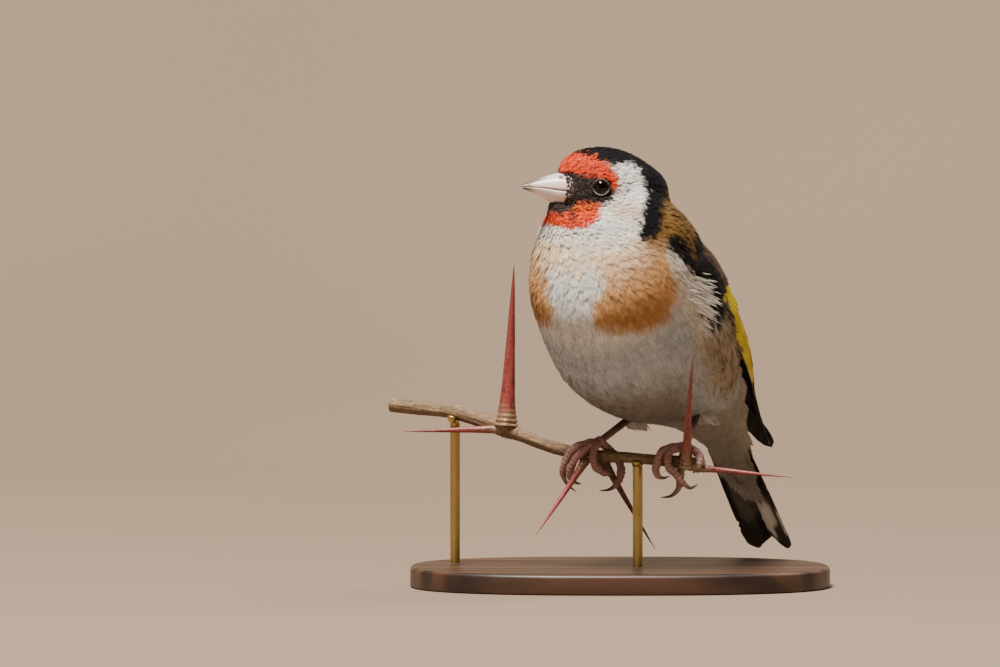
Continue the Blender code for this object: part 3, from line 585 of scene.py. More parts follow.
# The bird's markings, drawn on the side of the head as outlines of (forward, up) from its centre.
RED_FACE = (
    (8.2, 13.0), (8.6, 7.6), (6.2, 7.2), (4.1, 7.1), (2.2, 6.0), (-0.1, 4.4), (-0.9, 2.4), (-1.2, 0.8),
    (-0.7, -0.3), (0.5, 0.4), (1.7, 2.4), (3.7, 2.9), (6.1, 2.9), (8.6, 3.4), (11.0, 3.5), (14.0, 6.0),
    (14.0, 13.0),
)
RED_CHIN = (
    (2.6, -2.5), (2.7, -4.9), (4.4, -6.6), (7.1, -7.6), (9.0, -7.8), (11.0, -7.5), (13.5, -7.0),
    (17.0, -6.6), (17.0, -4.2), (13.2, -4.4), (10.5, -4.6), (8.6, -4.0), (7.2, -2.4), (4.6, -2.2),
)
DARK_LORES = (
    (11.6, 3.6), (8.6, 3.4), (6.1, 2.9), (3.7, 2.9), (1.7, 2.4), (0.3, 0.9), (0.2, -0.6), (2.2, -2.0),
    (4.6, -2.3), (7.1, -2.3), (8.0, -3.6), (9.0, -4.6), (12.0, -4.2), (14.5, -3.4), (14.5, 3.6),
)
BLACK_CAP = (
    (8.3, 13.0), (8.5, 7.6), (6.2, 7.1), (4.1, 7.0), (2.2, 5.9), (1.0, 5.3), (-0.1, 5.3), (-1.8, 5.9),
    (-3.6, 5.9), (-5.2, 4.6), (-6.2, 2.3), (-6.7, 0.3), (-6.5, -2.5), (-6.0, -4.9), (-5.5, -6.8),
    (-5.3, -8.4), (-6.8, -9.6), (-9.4, -8.4), (-10.4, -6.4), (-10.3, -4.4), (-10.6, -2.0),
    (-10.8, 0.2), (-12.5, 1.6), (-16.0, 4.0), (-16.0, 13.0),
)
WHITE_FACE = (
    (1.0, 5.4), (-0.1, 5.3), (-1.8, 5.9), (-3.6, 5.9), (-5.2, 4.6), (-6.2, 2.3), (-6.7, 0.3),
    (-6.5, -2.5), (-6.0, -4.9), (-5.5, -6.8), (-5.6, -8.6), (-3.6, -10.2), (-0.5, -11.4), (4.0, -12.0),
    (9.0, -11.4), (17.0, -9.6), (17.0, -3.0), (2.0, 1.0),
)
EAR_PATCH = (
    (1.6, -3.2), (-0.6, -1.8), (-3.4, -1.6), (-5.6, -2.6), (-5.4, -5.2), (-3.0, -5.6), (0.0, -5.2),
)
# Markings of the breast, as outlines of (degrees round from the belly's middle, along the body).
BREAST_PATCH = (
    (8, 15.0), (12, 12.8), (17, 11.4), (23, 10.0), (32, 8.8), (41, 8.0), (48, 8.0), (58, 9.4), (66, 11.6),
    (69, 15.8), (74, 19.5), (70, 24), (30, 26), (14, 23), (19, 20.9), (17, 19), (11, 17.3), (8, 16.2),
)
BREAST_DARK = (
    (12, 14.2), (17, 11.9), (23, 10.5), (32, 9.3), (41, 8.6), (48, 8.8), (56, 10.4), (52, 12.2),
    (44, 13.6), (37, 14.8), (28, 15.8), (20, 16.2), (14, 15.6),
)
SIDE_SHIFT = 0.268  # the outlines of the head are as the front view shows its turned side
BREAST_TWIST = 4.0  # degrees that the breast's middle is turned to the bird's right
TURN_SCALE = 0.3  # millimetres round the breast for a degree
# The belly's, the lower belly's and the vent's colours below are greyer and darker than the bird's own white: painted
# shade under the body.
COLOURS = {
    "red": "#dc3a1c", "red_light": "#f2683a", "red_base": "#5b1a14", "lores": "#3a302d", "lores_pale": "#6b5f5b",
    "black": "#0b090b", "black_soft": "#1d191b", "white": "#eeeae2", "white_warm": "#e9ddcb",
    "ear": "#d8b48c", "nape": "#84602f", "neck_side": "#957040", "breast": "#d89e60", "breast_deep": "#a3753d",
    "breast_pale": "#edd0a4", "cream": "#e2d2b8", "belly": "#bfc6ca", "belly_grey": "#93999e",
    "belly_in_shade": "#817360", "flank": "#a5875c", "flank_dark": "#604528", "back": "#6f4e33", "back_dark": "#4a3324",
    "rump": "#e3dccf", "vent": "#a29a8e", "gold": "#d9a33a", "down": "#6d6762",
}
PAINT = {name: linear(code) for name, code in COLOURS.items()}


def edge_distance(x, y, outline):
    """Signed distance to an outline, positive inside."""
    outline = np.array(outline)
    following = np.roll(outline, -1, axis=0)
    spots = np.stack([x, y], -1)
    nearest = np.full(len(spots), 1e9)
    inside = np.zeros(len(spots), bool)
    for (ax, ay), (bx, by) in zip(outline, following):
        run = np.array([bx - ax, by - ay])
        away = spots - (ax, ay)
        share = np.clip(away @ run / (run @ run), 0, 1)
        nearest = np.minimum(nearest, np.linalg.norm(away - share[:, None] * run, axis=1))
        crosses = (ay > y) != (by > y)
        level = (bx - ax) * (y - ay) / (by - ay if by != ay else 1e-9) + ax
        inside ^= crosses & (x < level)
    return np.where(inside, nearest, -nearest)


def mixed(first, second, share):
    share = np.asarray(share)[:, None]
    return first * (1 - share) + second * share


def ripple(points, size, seed):
    """Smooth wandering values from -1 to 1 with waves of about this size in millimetres."""
    rng = np.random.default_rng(seed)
    total = np.zeros(len(points))
    for _ in range(7):
        way = unit(rng.normal(size=3)) * 2 * math.pi / size * rng.uniform(0.6, 1.7)
        total += np.sin(points @ way + rng.uniform(0, 6.3))
    return total / 4


def wing_zone(points, run, share):
    """How surely each point lies on the black lesser coverts at the bend of a folded wing."""
    x, f = np.meshgrid(np.linspace(*run, 28), np.linspace(*share, 9), indexing="ij")
    bend = 1 - ease(x, -4.5, 4)
    f = np.where(f < 0, f * ease(x, 3, 10), f + 0.22 * bend)
    spots = np.concatenate([
        wing_sheet(x, f * wing_chord(x), side, 1.6 * bend)[0].reshape(-1, 3) for side in (1, -1)
    ])
    tongue = np.linspace((18.6, 15.3, -1.6), (14.6, 16.4, -0.8), 8)
    spots = np.concatenate([spots] + [body_point(*(tongue * (1, side, 1)).T) for side in (1, -1)])
    tree = KDTree(len(spots))
    for i, spot in enumerate(spots):
        tree.insert(Vector(spot), i)
    tree.balance()
    gaps = np.array([tree.find(Vector(point))[2] for point in points])
    return 1 - ease(gaps + 0.5 * ripple(points, 1.4, 34), 1.4, 2.3)


def plumage(points, rough=0.0):
    """Linear colour of the plumage at each point; rough lets the edges of the markings wander."""
    t, left, back = body_coords(points)
    s, aside, z = head_coords(points)
    s = s - SIDE_SHIFT * abs(aside) + rough * ripple(points, 1.1, 3)
    z = z + rough * ripple(points, 1.1, 4)
    t = t + 1.6 * rough * ripple(points, 3.0, 5)
    turn = np.degrees(np.arctan2(left, -(back - along(TORSO, t)[:, 0])))
    turn = turn + 2.5 * ripple(points, 6.0, 6) * (0.3 + rough)
    side = abs(turn)
    half = abs(turn + BREAST_TWIST) - BREAST_TWIST
    # The belly is laid pale blue-grey, with greyer streaks here and there, and white only over its upper part: the
    # grey is painted shade under the body over the belly's own white.
    colour = np.tile(PAINT["belly"], (len(points), 1))
    streaks = ripple(points, 2.4, 9)
    colour = mixed(colour, PAINT["belly_grey"], 0.4 * ease(streaks, 0.1, 0.9))
    colour = mixed(colour, PAINT["white"], 0.7 * ease(t, 4, 10))
    warm_side = ease(side, 54, 68) * (1 - ease(side, 100, 112)) * ease(t, -12, 2)
    colour = mixed(colour, PAINT["cream"], 0.75 * warm_side)
    flank = ease(side, 48, 76) * ease(-t, -3, 6) * (1 - ease(-t, 22, 30))
    colour = mixed(colour, PAINT["flank"], 0.8 * flank)
    streaky = flank * ease(side, 62, 78) * ease(ripple(points, 3.4, 12), -0.2, 0.8)
    colour = mixed(colour, PAINT["flank_dark"], 0.75 * streaky)
    # Painted shade: the lower belly turns brownish grey towards the bottom, away from the sides.
    colour = mixed(colour, PAINT["belly_in_shade"], 0.8 * ease(-t, 0, 12) * (1 - ease(side, 30, 62)))
    # Painted shade: the vent and the feathers under the tail are laid grey-brown, darker than their own white.
    colour = mixed(colour, PAINT["vent"], ease(-t, 24, 32) * (1 - ease(side, 95, 110)))
    buff = ease(edge_distance(half * TURN_SCALE, t, [(a * TURN_SCALE, b) for a, b in BREAST_PATCH]), -1.2, 1.4)
    colour = mixed(colour, PAINT["breast"], buff * (0.95 - 0.3 * ease(t, 17, 23)))
    deep = ease(edge_distance(half * TURN_SCALE, t, [(a * TURN_SCALE, b) for a, b in BREAST_DARK]), -1.6, 1.4)
    colour = mixed(colour, PAINT["breast_deep"], deep * (0.7 + 0.2 * ripple(points, 2.2, 14)))
    collar = ease(t, 20.6, 22.4) * (1 - ease(side, 66, 80))
    colour = mixed(colour, PAINT["breast_pale"], 0.8 * collar)
    strip = ease(side, 68, 76) * (1 - ease(side, 98, 106)) * ease(t, -7, 0) * (1 - ease(t, 18.5, 20.5))
    colour = mixed(colour, PAINT["white"], 0.8 * strip)
    mantle = ease(side, 98, 108)
    colour = mixed(colour, PAINT["back"], mantle)
    colour = mixed(colour, PAINT["back_dark"], 0.6 * mantle * ease(ripple(points, 2.8, 15), 0.1, 0.9))
    rump = mantle * ease(-t, 20, 27)
    colour = mixed(colour, PAINT["rump"], rump)
    beside_wing = wing_zone(points, (-4.5, 17.0), (-0.24, 0.36))
    black_wing = mixed(np.tile(PAINT["black"], (len(points), 1)), PAINT["black_soft"],
                       0.7 * ease(ripple(points, 1.3, 33), 0.0, 0.8))
    neck = ease(z, -20, -13) * ease(-s, 3.0, 7.5) * ease(side, 72, 92)
    colour = mixed(colour, PAINT["neck_side"], neck)
    colour = mixed(colour, PAINT["nape"], ease(z, -14, -8) * ease(-s, 4, 8))
    colour = mixed(colour, black_wing, beside_wing)
    throat = ease(edge_distance(s, z, WHITE_FACE), -1.3, 1.1)
    warm = mixed(np.tile(PAINT["white"], (len(points), 1)), PAINT["white_warm"], ease(-z, 6, 12))
    colour = mixed(colour, warm, throat)
    ear = ease(edge_distance(s, z, EAR_PATCH), -1.0, 1.4)
    colour = mixed(colour, PAINT["ear"], 0.95 * ear * (0.75 + 0.25 * ripple(points, 1.2, 18)))
    lores = mixed(np.tile(PAINT["lores"], (len(points), 1)), PAINT["lores_pale"],
                  0.5 * ease(ripple(points, 0.8, 21), 0.2, 0.9))
    colour = mixed(colour, lores, ease(edge_distance(s, z, DARK_LORES), -0.8, -0.3))
    red = mixed(np.tile(PAINT["red"], (len(points), 1)), PAINT["red_light"],
                ease(ripple(points, 1.0, 22), -0.1, 0.9))
    chin = ease(edge_distance(s, z, RED_CHIN), -0.25, 0.35)
    colour = mixed(colour, red, chin)
    colour = mixed(colour, PAINT["gold"], 0.75 * chin * ease(ripple(points, 0.8, 27), 0.45, 0.7)
                   * ease(z, -5.4, -4.0) * (1 - ease(s, 7.4, 8.6)))
    # Painted shade: a thin dark line down the red chin, in the fold where the cheek's feathers part from those under
    # the bill.
    colour = mixed(colour, PAINT["lores"], 0.9 * chin * (1 - ease(abs(s - 8.4), 0.2, 0.7)) * ease(z, -8, -5))
    colour = mixed(colour, red, ease(edge_distance(s, z, RED_FACE), -0.25, 0.35))
    cap = ease(edge_distance(s, z, BLACK_CAP), -0.3, 0.3)
    black = mixed(np.tile(PAINT["black"], (len(points), 1)), PAINT["black_soft"],
                  0.5 * ease(ripple(points, 1.5, 30), 0.2, 0.9))
    return mixed(colour, black, cap)


def paint(obj, colours, attribute="Plumage"):
    """Stores linear colours on the points of a piece."""
    layer = obj.data.color_attributes.new(attribute, "FLOAT_COLOR", "POINT")
    full = np.concatenate([np.clip(colours, 0, 1), np.ones((len(colours), 1))], 1)
    layer.data.foreach_set("color", full.astype(np.float32).ravel())


def torso_form():
    across, back = round_section(48, TORSO_FULLNESS)
    t = np.linspace(TORSO[0][0], TORSO[-1][0], 60)
    shift, width, high, belly = along(TORSO, t).T
    depth = np.where(back[None] > 0, high[:, None], belly[:, None])
    return loft("torso_form", body_point(
        np.broadcast_to(t[:, None], depth.shape), across[None] * width[:, None],
        shift[:, None] + back[None] * depth,
    ))


def head_form():
    across, up = round_section(40, HEAD_FULLNESS)
    s = np.linspace(HEAD[0][0], HEAD[-1][0], 40)
    lift, width, above, below = along(HEAD, s).T
    depth = np.where(up[None] > 0, above[:, None], below[:, None])
    return loft("head_form", head_point(
        np.broadcast_to(s[:, None], depth.shape), across[None] * width[:, None],
        lift[:, None] + up[None] * depth,
    ))


def neck_form():
    foot, top = body_point(NECK_FOOT_ALONG, 0, 0), HEAD_CENTRE + NECK_HEAD_SHIFT
    deep = np.cross(unit(top - foot), LEFT)
    share = np.linspace(0, 1, 14)
    width, depth = along(NECK, share).T
    across, out = round_section(36, 2.1)
    rings = (foot + (top - foot) * share[:, None])[:, None]
    rings = rings + LEFT * (width[:, None] * across)[..., None] + deep * (depth[:, None] * out)[..., None]
    return loft("neck_form", rings)


def thigh_form(side):
    start, heel = (np.array(p) for p in LEGS[side][:2])
    path = start + (heel - start) * np.array([0, 0.35, 0.7, 1.0])[:, None]
    return loft("thigh_form", tube_rings(path, THIGH_RADII, 20))


# Feathers under the tail's base: along the tail, half width, lowest and highest over the tail's middle.
UNDERTAIL = (
    (5, 6.0, -5.2, -0.6), (12, 5.4, -4.2, -0.7), (18, 4.9, -3.5, -0.8), (23, 4.2, -3.0, -0.9),
    (27, 3.2, -2.5, -1.0), (30, 1.8, -2.1, -1.1), (31.5, 0.7, -1.7, -1.2),
)


def undertail_form():
    rows = np.array(UNDERTAIL, float)
    k, width, low, high = (rows[:, i, None] for i in range(4))
    across, up = round_section(24, 2.0)
    return loft("undertail_form", tail_point(
        np.broadcast_to(k, (len(rows), 24)), across * width, (low + high) / 2 + up * (high - low) / 2
    ))


def coat_depth(points):
    """How far the feathers stand over the skin: thin on the face, deep on the body."""
    s, _, z = head_coords(points)
    face = ease(s, 3, 8) * ease(z, -12, -7)
    head = ease(z, -14, -8)
    depth = 0.85 - 0.35 * head
    return depth * (1 - face) + 0.25 * face


SKIN_VOXEL = 0.6
SKIN_ROUNDS = 24
EYE_HOLLOW = 1.75


def eye_places():
    forward, aside, up = EYE
    for side in (1, -1):
        look = unit(HEAD_AXIS * EYE_LOOK[0] + HEAD_LEFT * EYE_LOOK[1] * side + HEAD_UP * EYE_LOOK[2])
        yield head_point(forward, aside * side, up), look


def hollow_for_eyes(points):
    for centre, look in eye_places():
        away = points - centre
        reach = away @ look
        off = np.linalg.norm(away - reach[:, None] * look, axis=1)
        deep = (reach > 0) * (1 - ease(off, EYE_HOLLOW - 0.4, EYE_HOLLOW + 0.1))
        points = points - look * (deep * (reach + 0.9))[:, None]
    return points


def bill_width(ahead, up):
    """Half width of the bill at this height, nought above, below and in front of it."""
    ridge, _, under, width = along(BILL, ahead).T
    level = (up - (ridge + under) / 2) / ((ridge - under) / 2)
    return width * np.sqrt(np.maximum(1 - level**2, 0)) * (ahead < BILL[-1][0])


def outer_body():
    forms = [torso_form(), head_form(), neck_form(), undertail_form()]
    forms += [thigh_form("left"), thigh_form("right")]
    body = fused("outer_body", forms, SKIN_VOXEL, SKIN_ROUNDS)
    points = points_of(body)
    ahead, aside, up = head_coords(points)
    beyond = abs(aside) - np.maximum(bill_width(ahead, up) - 0.35, 0.0)
    pinch = ease(ahead, 9.0, 9.9) * np.maximum(beyond, 0) * (bill_width(ahead, up) > 0)
    move_points(body, points - HEAD_LEFT * (np.sign(aside) * pinch)[:, None])
    return body


def sink_under_wings(points, normals):
    """Moves the skin's points down under the wings' sheets."""
    for side in (1, -1):
        xs = np.linspace(-5, 66, 72)
        grid_x, grid_y = np.meshgrid(xs, np.linspace(-0.06, 1.06, 26), indexing="ij")
        across = grid_y * wing_chord(grid_x.ravel()).reshape(grid_x.shape)
        sheet, out = wing_sheet(grid_x.ravel(), across.ravel(), side)
        tree = KDTree(len(sheet))
        for i, spot in enumerate(sheet):
            tree.insert(Vector(spot), i)
        tree.balance()
        rim = np.minimum.reduce([
            grid_y.ravel() * 18, (1 - grid_y.ravel()) * 18, (grid_x.ravel() + 5) * 0.7,
        ])
        for k, spot in enumerate(points):
            _, i, gap = tree.find(Vector(spot))
            if gap > 9:
                continue
            height = (spot - sheet[i]) @ out[i]
            off = np.linalg.norm(spot - sheet[i] - out[i] * height)
            if off < 1.6 and height > -2.3:
                points[k] = spot - out[i] * (height + 2.3) * float(ease(rim[i], -1.2, 1.0))
    return points


# Coat: spacing of roots, length, half width, barbs, rise of the tips over the coat, wander of the lie.
TUFTS = {
    "face": (0.33, 1.6, 0.32, 5, 0.12, 0.18),
    "head": (0.40, 2.6, 0.46, 7, 0.05, 0.14),
    "neck": (0.58, 4.2, 0.75, 9, 0.06, 0.13),
    "breast": (0.74, 5.6, 1.0, 10, 0.07, 0.12),
    "belly": (0.84, 7.0, 1.2, 11, 0.16, 0.18),
    "back": (0.95, 6.2, 1.4, 12, 0.06, 0.10),
    "vent": (0.90, 8.0, 1.3, 11, 0.08, 0.10),
}
# Feathers that lie over the folded wing: where along the wing and across its chord, and their size.
WING_COAT = {
    "coverts": ((-4.5, 9.5), (0.0, 0.42), (0.85, 4.2, 1.15, 11, 0.04, 0.05)),
    "scapulars": ((-4.5, 11.5), (0.34, 1.0), (0.95, 6.5, 1.6, 13, 0.04, 0.05)),
    "fringe": ((-2.0, 7.0), (-0.42, -0.12), (0.62, 7.5, 0.26, 3, 0.35, 0.10)),
}
BRISTLES = (0.3, 1.1, 0.24, 3, 0.08, 0.2)  # short forward hairs over the base of the bill
BRISTLE_COUNT = 1000
HEEL_HAIR = (0.3, 3.4, 0.2, 3, 0.3, 0.12)  # loose hairs that hang over the heel
HEEL_HAIRS = 46
HEEL_SHEET = np.array([(-1.6, -1.6, 0.0), (2.4, -1.0, -0.3), (-0.7, -1.3, -2.4), (4.4, -0.6, -3.0)])
UNDERTAIL_TUFT = (0.9, 7.5, 1.3, 11, 0.1, 0.09)
UNDERTAIL_COUNT = 130
STATIONS = np.array([0.0, 0.25, 0.5, 0.75, 1.0])
PATCH = 0.003  # size of a tuft's patch on the unwrap of the skin


def coat_regions(points):
    s, aside, z = head_coords(points)
    t, left, back = body_coords(points)
    side = abs(np.degrees(np.arctan2(left, -(back - along(TORSO, t)[:, 0]))))
    region = np.where(t > 2, "breast", "belly").astype("<U6")
    region[side > 98] = "back"
    region[(t < -25) & (side <= 98)] = "vent"
    region[(t < -34)] = "vent"
    region[(z > -18)] = "neck"
    region[(z > -9.5)] = "head"
    eye = np.minimum.reduce([np.linalg.norm(points - c, axis=1) for c, _ in eye_places()])
    region[(z > -8.5) & ((s > 6.2) | (eye < 4.4))] = "face"
    return region


def lie(points):
    """The way the coat lies: back from the bill over the head, towards the tail on the body."""
    s, _, z = head_coords(points)
    t, left, back = body_coords(points)
    side = abs(np.degrees(np.arctan2(left, -(back - along(TORSO, t)[:, 0]))))
    from_bill = unit(points - head_point(21.0, 0.0, 1.0))
    outward_share = 0.3 * ease(side, 15, 50) * (1 - ease(side, 66, 88)) * ease(t, -14, 2)
    down = -AXIS + LEFT * (np.sign(left) * outward_share)[:, None]
    tail = ease(-t, 24, 36)[:, None]
    down = down * (1 - tail) - TAIL_AXIS * tail
    share = ease(z, -17, -7)[:, None]
    return unit(from_bill * share + down * (1 - share))


def spread_roots(obj, spacing_of, keep):
    """Evenly scattered places on a mesh, no nearer to each other than the spacing there."""
    mesh = obj.data
    mesh.calc_loop_triangles()
    corners = np.zeros(len(mesh.loop_triangles) * 3, np.int32)
    mesh.loop_triangles.foreach_get("vertices", corners)
    spots = points_of(obj)[corners.reshape(-1, 3)]
    area = np.linalg.norm(np.cross(spots[:, 1] - spots[:, 0], spots[:, 2] - spots[:, 0]), axis=1) / 2
    finest = min(row[0] for row in TUFTS.values())
    count = int(area.sum() / finest**2 * 2.2)
    pick = CHANCE.choice(len(area), count, p=area / area.sum())
    a, b = CHANCE.random((2, count, 1))
    flip = a + b > 1
    a, b = np.where(flip, 1 - a, a), np.where(flip, 1 - b, b)
    chosen = spots[pick]
    places = chosen[:, 0] + a * (chosen[:, 1] - chosen[:, 0]) + b * (chosen[:, 2] - chosen[:, 0])
    places = places[keep(places)]
    gaps = spacing_of(places)
    order = np.argsort(gaps + CHANCE.random(len(gaps)) * 0.3)
    tree = KDTree(len(places))
    for i, spot in enumerate(places):
        tree.insert(Vector(spot), i)
    tree.balance()
    alive = np.ones(len(places), bool)
    kept = []
    for i in order:
        if alive[i]:
            kept.append(i)
            for _, j, _ in tree.find_range(Vector(places[i]), gaps[i]):
                alive[j] = False
    return places[kept]


def barb_plan(barbs, length, half, rng):
    """Places of one feather's barbs in shares of its length and half width, from root to tip."""
    turn = np.linspace(-1.25, 1.25, barbs)
    tip_share = 0.62 + 0.38 * np.cos(turn)
    tip_across = np.sin(turn) / math.sin(1.25)
    root_share = np.maximum(tip_share - 0.62, 0.02)
    bends = np.array([0.0, 0.38, 0.72, 1.0])
    share = root_share[:, None] + (tip_share - root_share)[:, None] * bends
    across = tip_across[:, None] * (0.16 + 0.84 * bends**0.75)
    run = np.gradient(share, axis=1) * length
    rise = np.gradient(across, axis=1) * half
    size = np.hypot(run, rise)
    broad = half / barbs * np.array([0.9, 1.35, 1.05, 0.0])
    return share, across, -rise / size * broad, run / size * broad


def unwrap(points):
    """Each place on an unwrap of the skin: round the body, and from the bill to the tail."""
    spine = np.array([
        head_point(13, 0, -1), head_point(4, 0, 0), head_point(-3, 0, -3), body_point(16, 0, -2),
        body_point(0, 0, -1), body_point(-18, 0, 3), body_point(-34, 0, 10), body_point(-58, 0, 15),
    ])
    above = np.array([HEAD_UP, HEAD_UP, HEAD_UP + BACK, BACK, BACK, BACK, BACK, BACK])
    lengths = np.linalg.norm(np.diff(spine, axis=0), axis=1)
    ends = np.concatenate([[0], np.cumsum(lengths)]) / lengths.sum()
    best = np.full(len(points), 1e9)
    out = np.zeros((len(points), 2))
    for i in range(len(lengths)):
        run = spine[i + 1] - spine[i]
        share = np.clip((points - spine[i]) @ run / (run @ run), 0, 1)
        away = points - spine[i] - share[:, None] * run
        gap = np.linalg.norm(away, axis=1)
        over = unit(above[i] * (1 - share[:, None]) + above[i + 1] * share[:, None])
        aside = unit(np.cross(unit(run), over))
        over = np.cross(aside, unit(run))
        turn = np.arctan2((away * aside).sum(1), (away * over).sum(1)) / (2 * math.pi) + 0.5
        nearer = gap < best
        best[nearer] = gap[nearer]
        spot = np.stack([0.01 + 0.98 * turn, 0.01 + 0.98 * (ends[i] + share * (ends[i + 1] - ends[i]))], -1)
        out[nearer] = spot[nearer]
    return out


def tuft_paths(roots, headings, lengths, cover, depth):
    """Each tuft's middle line over the body, with its outward and side directions."""
    spots, normals = cover.nearest(roots)
    places, outs, aheads = [spots], [normals], []
    heading = unit(headings - normals * (headings * normals).sum(1, keepdims=True))
    for _ in STATIONS[1:]:
        aheads.append(heading)
        step = spots + heading * (lengths / (len(STATIONS) - 1))[:, None]
        spots, normals = cover.nearest(step)
        heading = unit(heading - normals * (heading * normals).sum(1, keepdims=True))
        places.append(spots)
        outs.append(normals)
    aheads.append(heading)
    return np.stack(places, 1), np.stack(outs, 1), np.stack(aheads, 1)


def fluff(points):
    """How far loose feathers stand out past the rest: the nape ruff, the belly and the thighs."""
    s, _, z = head_coords(points)
    t, left, back = body_coords(points)
    side = abs(np.degrees(np.arctan2(left, -(back - along(TORSO, t)[:, 0]))))
    ruff = ease(z, -10, -5) * (1 - ease(z, -3.0, 0.0)) * ease(-s, 6.5, 10.5)
    low = ease(-t, 4, 16) * (1 - ease(side, 60, 85))
    return 0.9 * ruff + 0.5 * low


def lay_tufts(name, roots, cover, headings, size, lift_over, colour_of, shade_root=0.7, extra=0.0):
    """One coat piece: at every root a small feather of fine barbs that lies along the body."""
    _, length, half, barbs, rise, wander = size
    count = len(roots)
    rng = np.random.default_rng(len(name) * 97 + count)
    lengths = length * rng.uniform(0.82, 1.18, count)
    headings = unit(headings + wander * rng.normal(size=(count, 3)))
    places, outs, aheads = tuft_paths(roots, headings, lengths, cover, lift_over)
    share, across, broad_run, broad_side = barb_plan(barbs, length, half, rng)
    rows = share.size
    at = share.ravel() * (len(STATIONS) - 1)
    low = np.clip(at.astype(int), 0, len(STATIONS) - 2)
    part = (at - low)[None, :, None]

    def on_path(values):
        return values[:, low] * (1 - part) + values[:, low + 1] * part

    middle, out, ahead = on_path(places), unit(on_path(outs)), unit(on_path(aheads))
    aside = np.cross(ahead, out)
    wide = half * rng.uniform(0.85, 1.15, (count, 1, 1))
    over = across.ravel()[None, :, None] * wide
    jitter = np.repeat(rng.normal(size=(count, barbs)), share.shape[1], axis=1)[..., None]
    fray = (share.ravel() ** 2)[None, :, None]
    height = np.where(share.ravel() < 0.12, -0.12, share.ravel() ** 0.8)
    depth = lift_over[:, None, None] if np.ndim(lift_over) else lift_over
    tall = rise * rng.uniform(0.2, 1.8, (count, 1, 1)) * fray
    spot = middle + aside * (over + 0.07 * half * jitter * fray)
    spot = spot + out * (depth * (height[None, :, None] - 0.95 - 0.2 * (over / wide) ** 2) + tall)
    loose = np.broadcast_to(extra, count)[:, None, None] * share.ravel()[None, :, None]
    spot = spot + ahead * 0.05 * length * jitter * fray + out * loose
    spread = broad_run.ravel()[None, :, None] * ahead + broad_side.ravel()[None, :, None] * aside
    lean = np.repeat(rng.normal(size=(count, barbs)) * 0.2, share.shape[1], axis=1)[..., None]
    spread = spread + out * lean * np.linalg.norm(spread, axis=-1, keepdims=True)
    edges = np.stack([spot - spread, spot + spread], 2).reshape(count, barbs, 4, 2, 3)
    points = np.concatenate([edges[:, :, :3].reshape(count, barbs, 6, 3), edges[:, :, 3, :1]], 2)
    blade = np.array([(0, 1, 3), (0, 3, 2), (2, 3, 5), (2, 5, 4), (4, 5, 6)])
    faces = (np.arange(count * barbs) * 7)[:, None, None] + blade
    strayed = places + rng.normal(size=(count, 1, 3)) * 0.12 * min(length, 3.0)
    base = colour_of(strayed.reshape(-1, 3)).reshape(count, len(STATIONS), 3)
    base = on_path(base * rng.uniform(0.92, 1.06, (count, 1, 1))).reshape(count, barbs, 4, 3)
    base = np.concatenate([base[:, :, :3].repeat(2, 2), base[:, :, 3:]], 2)
    # Each barb is darker towards its root: painted shade deep in the coat.
    tone = np.array([shade_root, shade_root, 0.87, 0.87, 1.0, 1.0, 1.04])
    tone = tone * rng.uniform(0.88, 1.08, (count, barbs, 1))
    colours = base * tone[..., None]
    obj = new_object(name, points.reshape(-1, 3), faces.reshape(-1, 3))
    round_over = 0.4 * unit(spread)
    soft = np.stack([out - round_over, out + round_over], 2).reshape(count, barbs, 4, 2, 3)
    soft = np.concatenate([soft[:, :, :3].reshape(count, barbs, 6, 3), soft[:, :, 3, :1]], 2)
    obj.data.normals_split_custom_set_from_vertices(unit(soft).reshape(-1, 3))
    paint(obj, colours.reshape(-1, 3))
    reach = np.concatenate([share.reshape(barbs, 4).repeat(2, 1)[:, :6], share[:, 3:]], 1)
    wide_at = np.concatenate([across.reshape(barbs, 4).repeat(2, 1)[:, :6], across[:, 3:]], 1)
    local = np.stack([reach, wide_at * 0.5 + 0.5], -1) - 0.5
    patch = unwrap(places[:, 0])[:, None, None] + PATCH * local[None]
    lay_uv(obj, patch.reshape(-1, 2))
    return obj


def lay_uv(obj, spots, name="OFBake"):
    layer = obj.data.uv_layers.new(name=name)
    corners = np.zeros(len(obj.data.loops), np.int32)
    obj.data.loops.foreach_get("vertex_index", corners)
    layer.data.foreach_set("uv", spots[corners].astype(np.float32).ravel())


def off_the_wings(roots, headings, lengths, cover, bare):
    """True for tufts that stay on the body and don't run out over a folded wing."""
    places, _, _ = tuft_paths(roots, headings, np.full(len(roots), lengths), cover, 0.0)
    under, _ = bare.nearest(places[:, 4])
    return np.linalg.norm(under - places[:, 4], axis=1) < 0.5


def bristle_roots():
    """Scattered places round the base of the bill."""
    turn, share = CHANCE.random((2, BRISTLE_COUNT))
    turn = turn * 2 * math.pi
    forward = 7.9 + 1.9 * share
    ridge, cut, under, width = along(BILL, forward).T
    high = np.where(np.sin(turn) > 0, ridge - cut, cut - under) * np.sin(turn)
    return head_point(forward, width * np.cos(turn), cut + high)


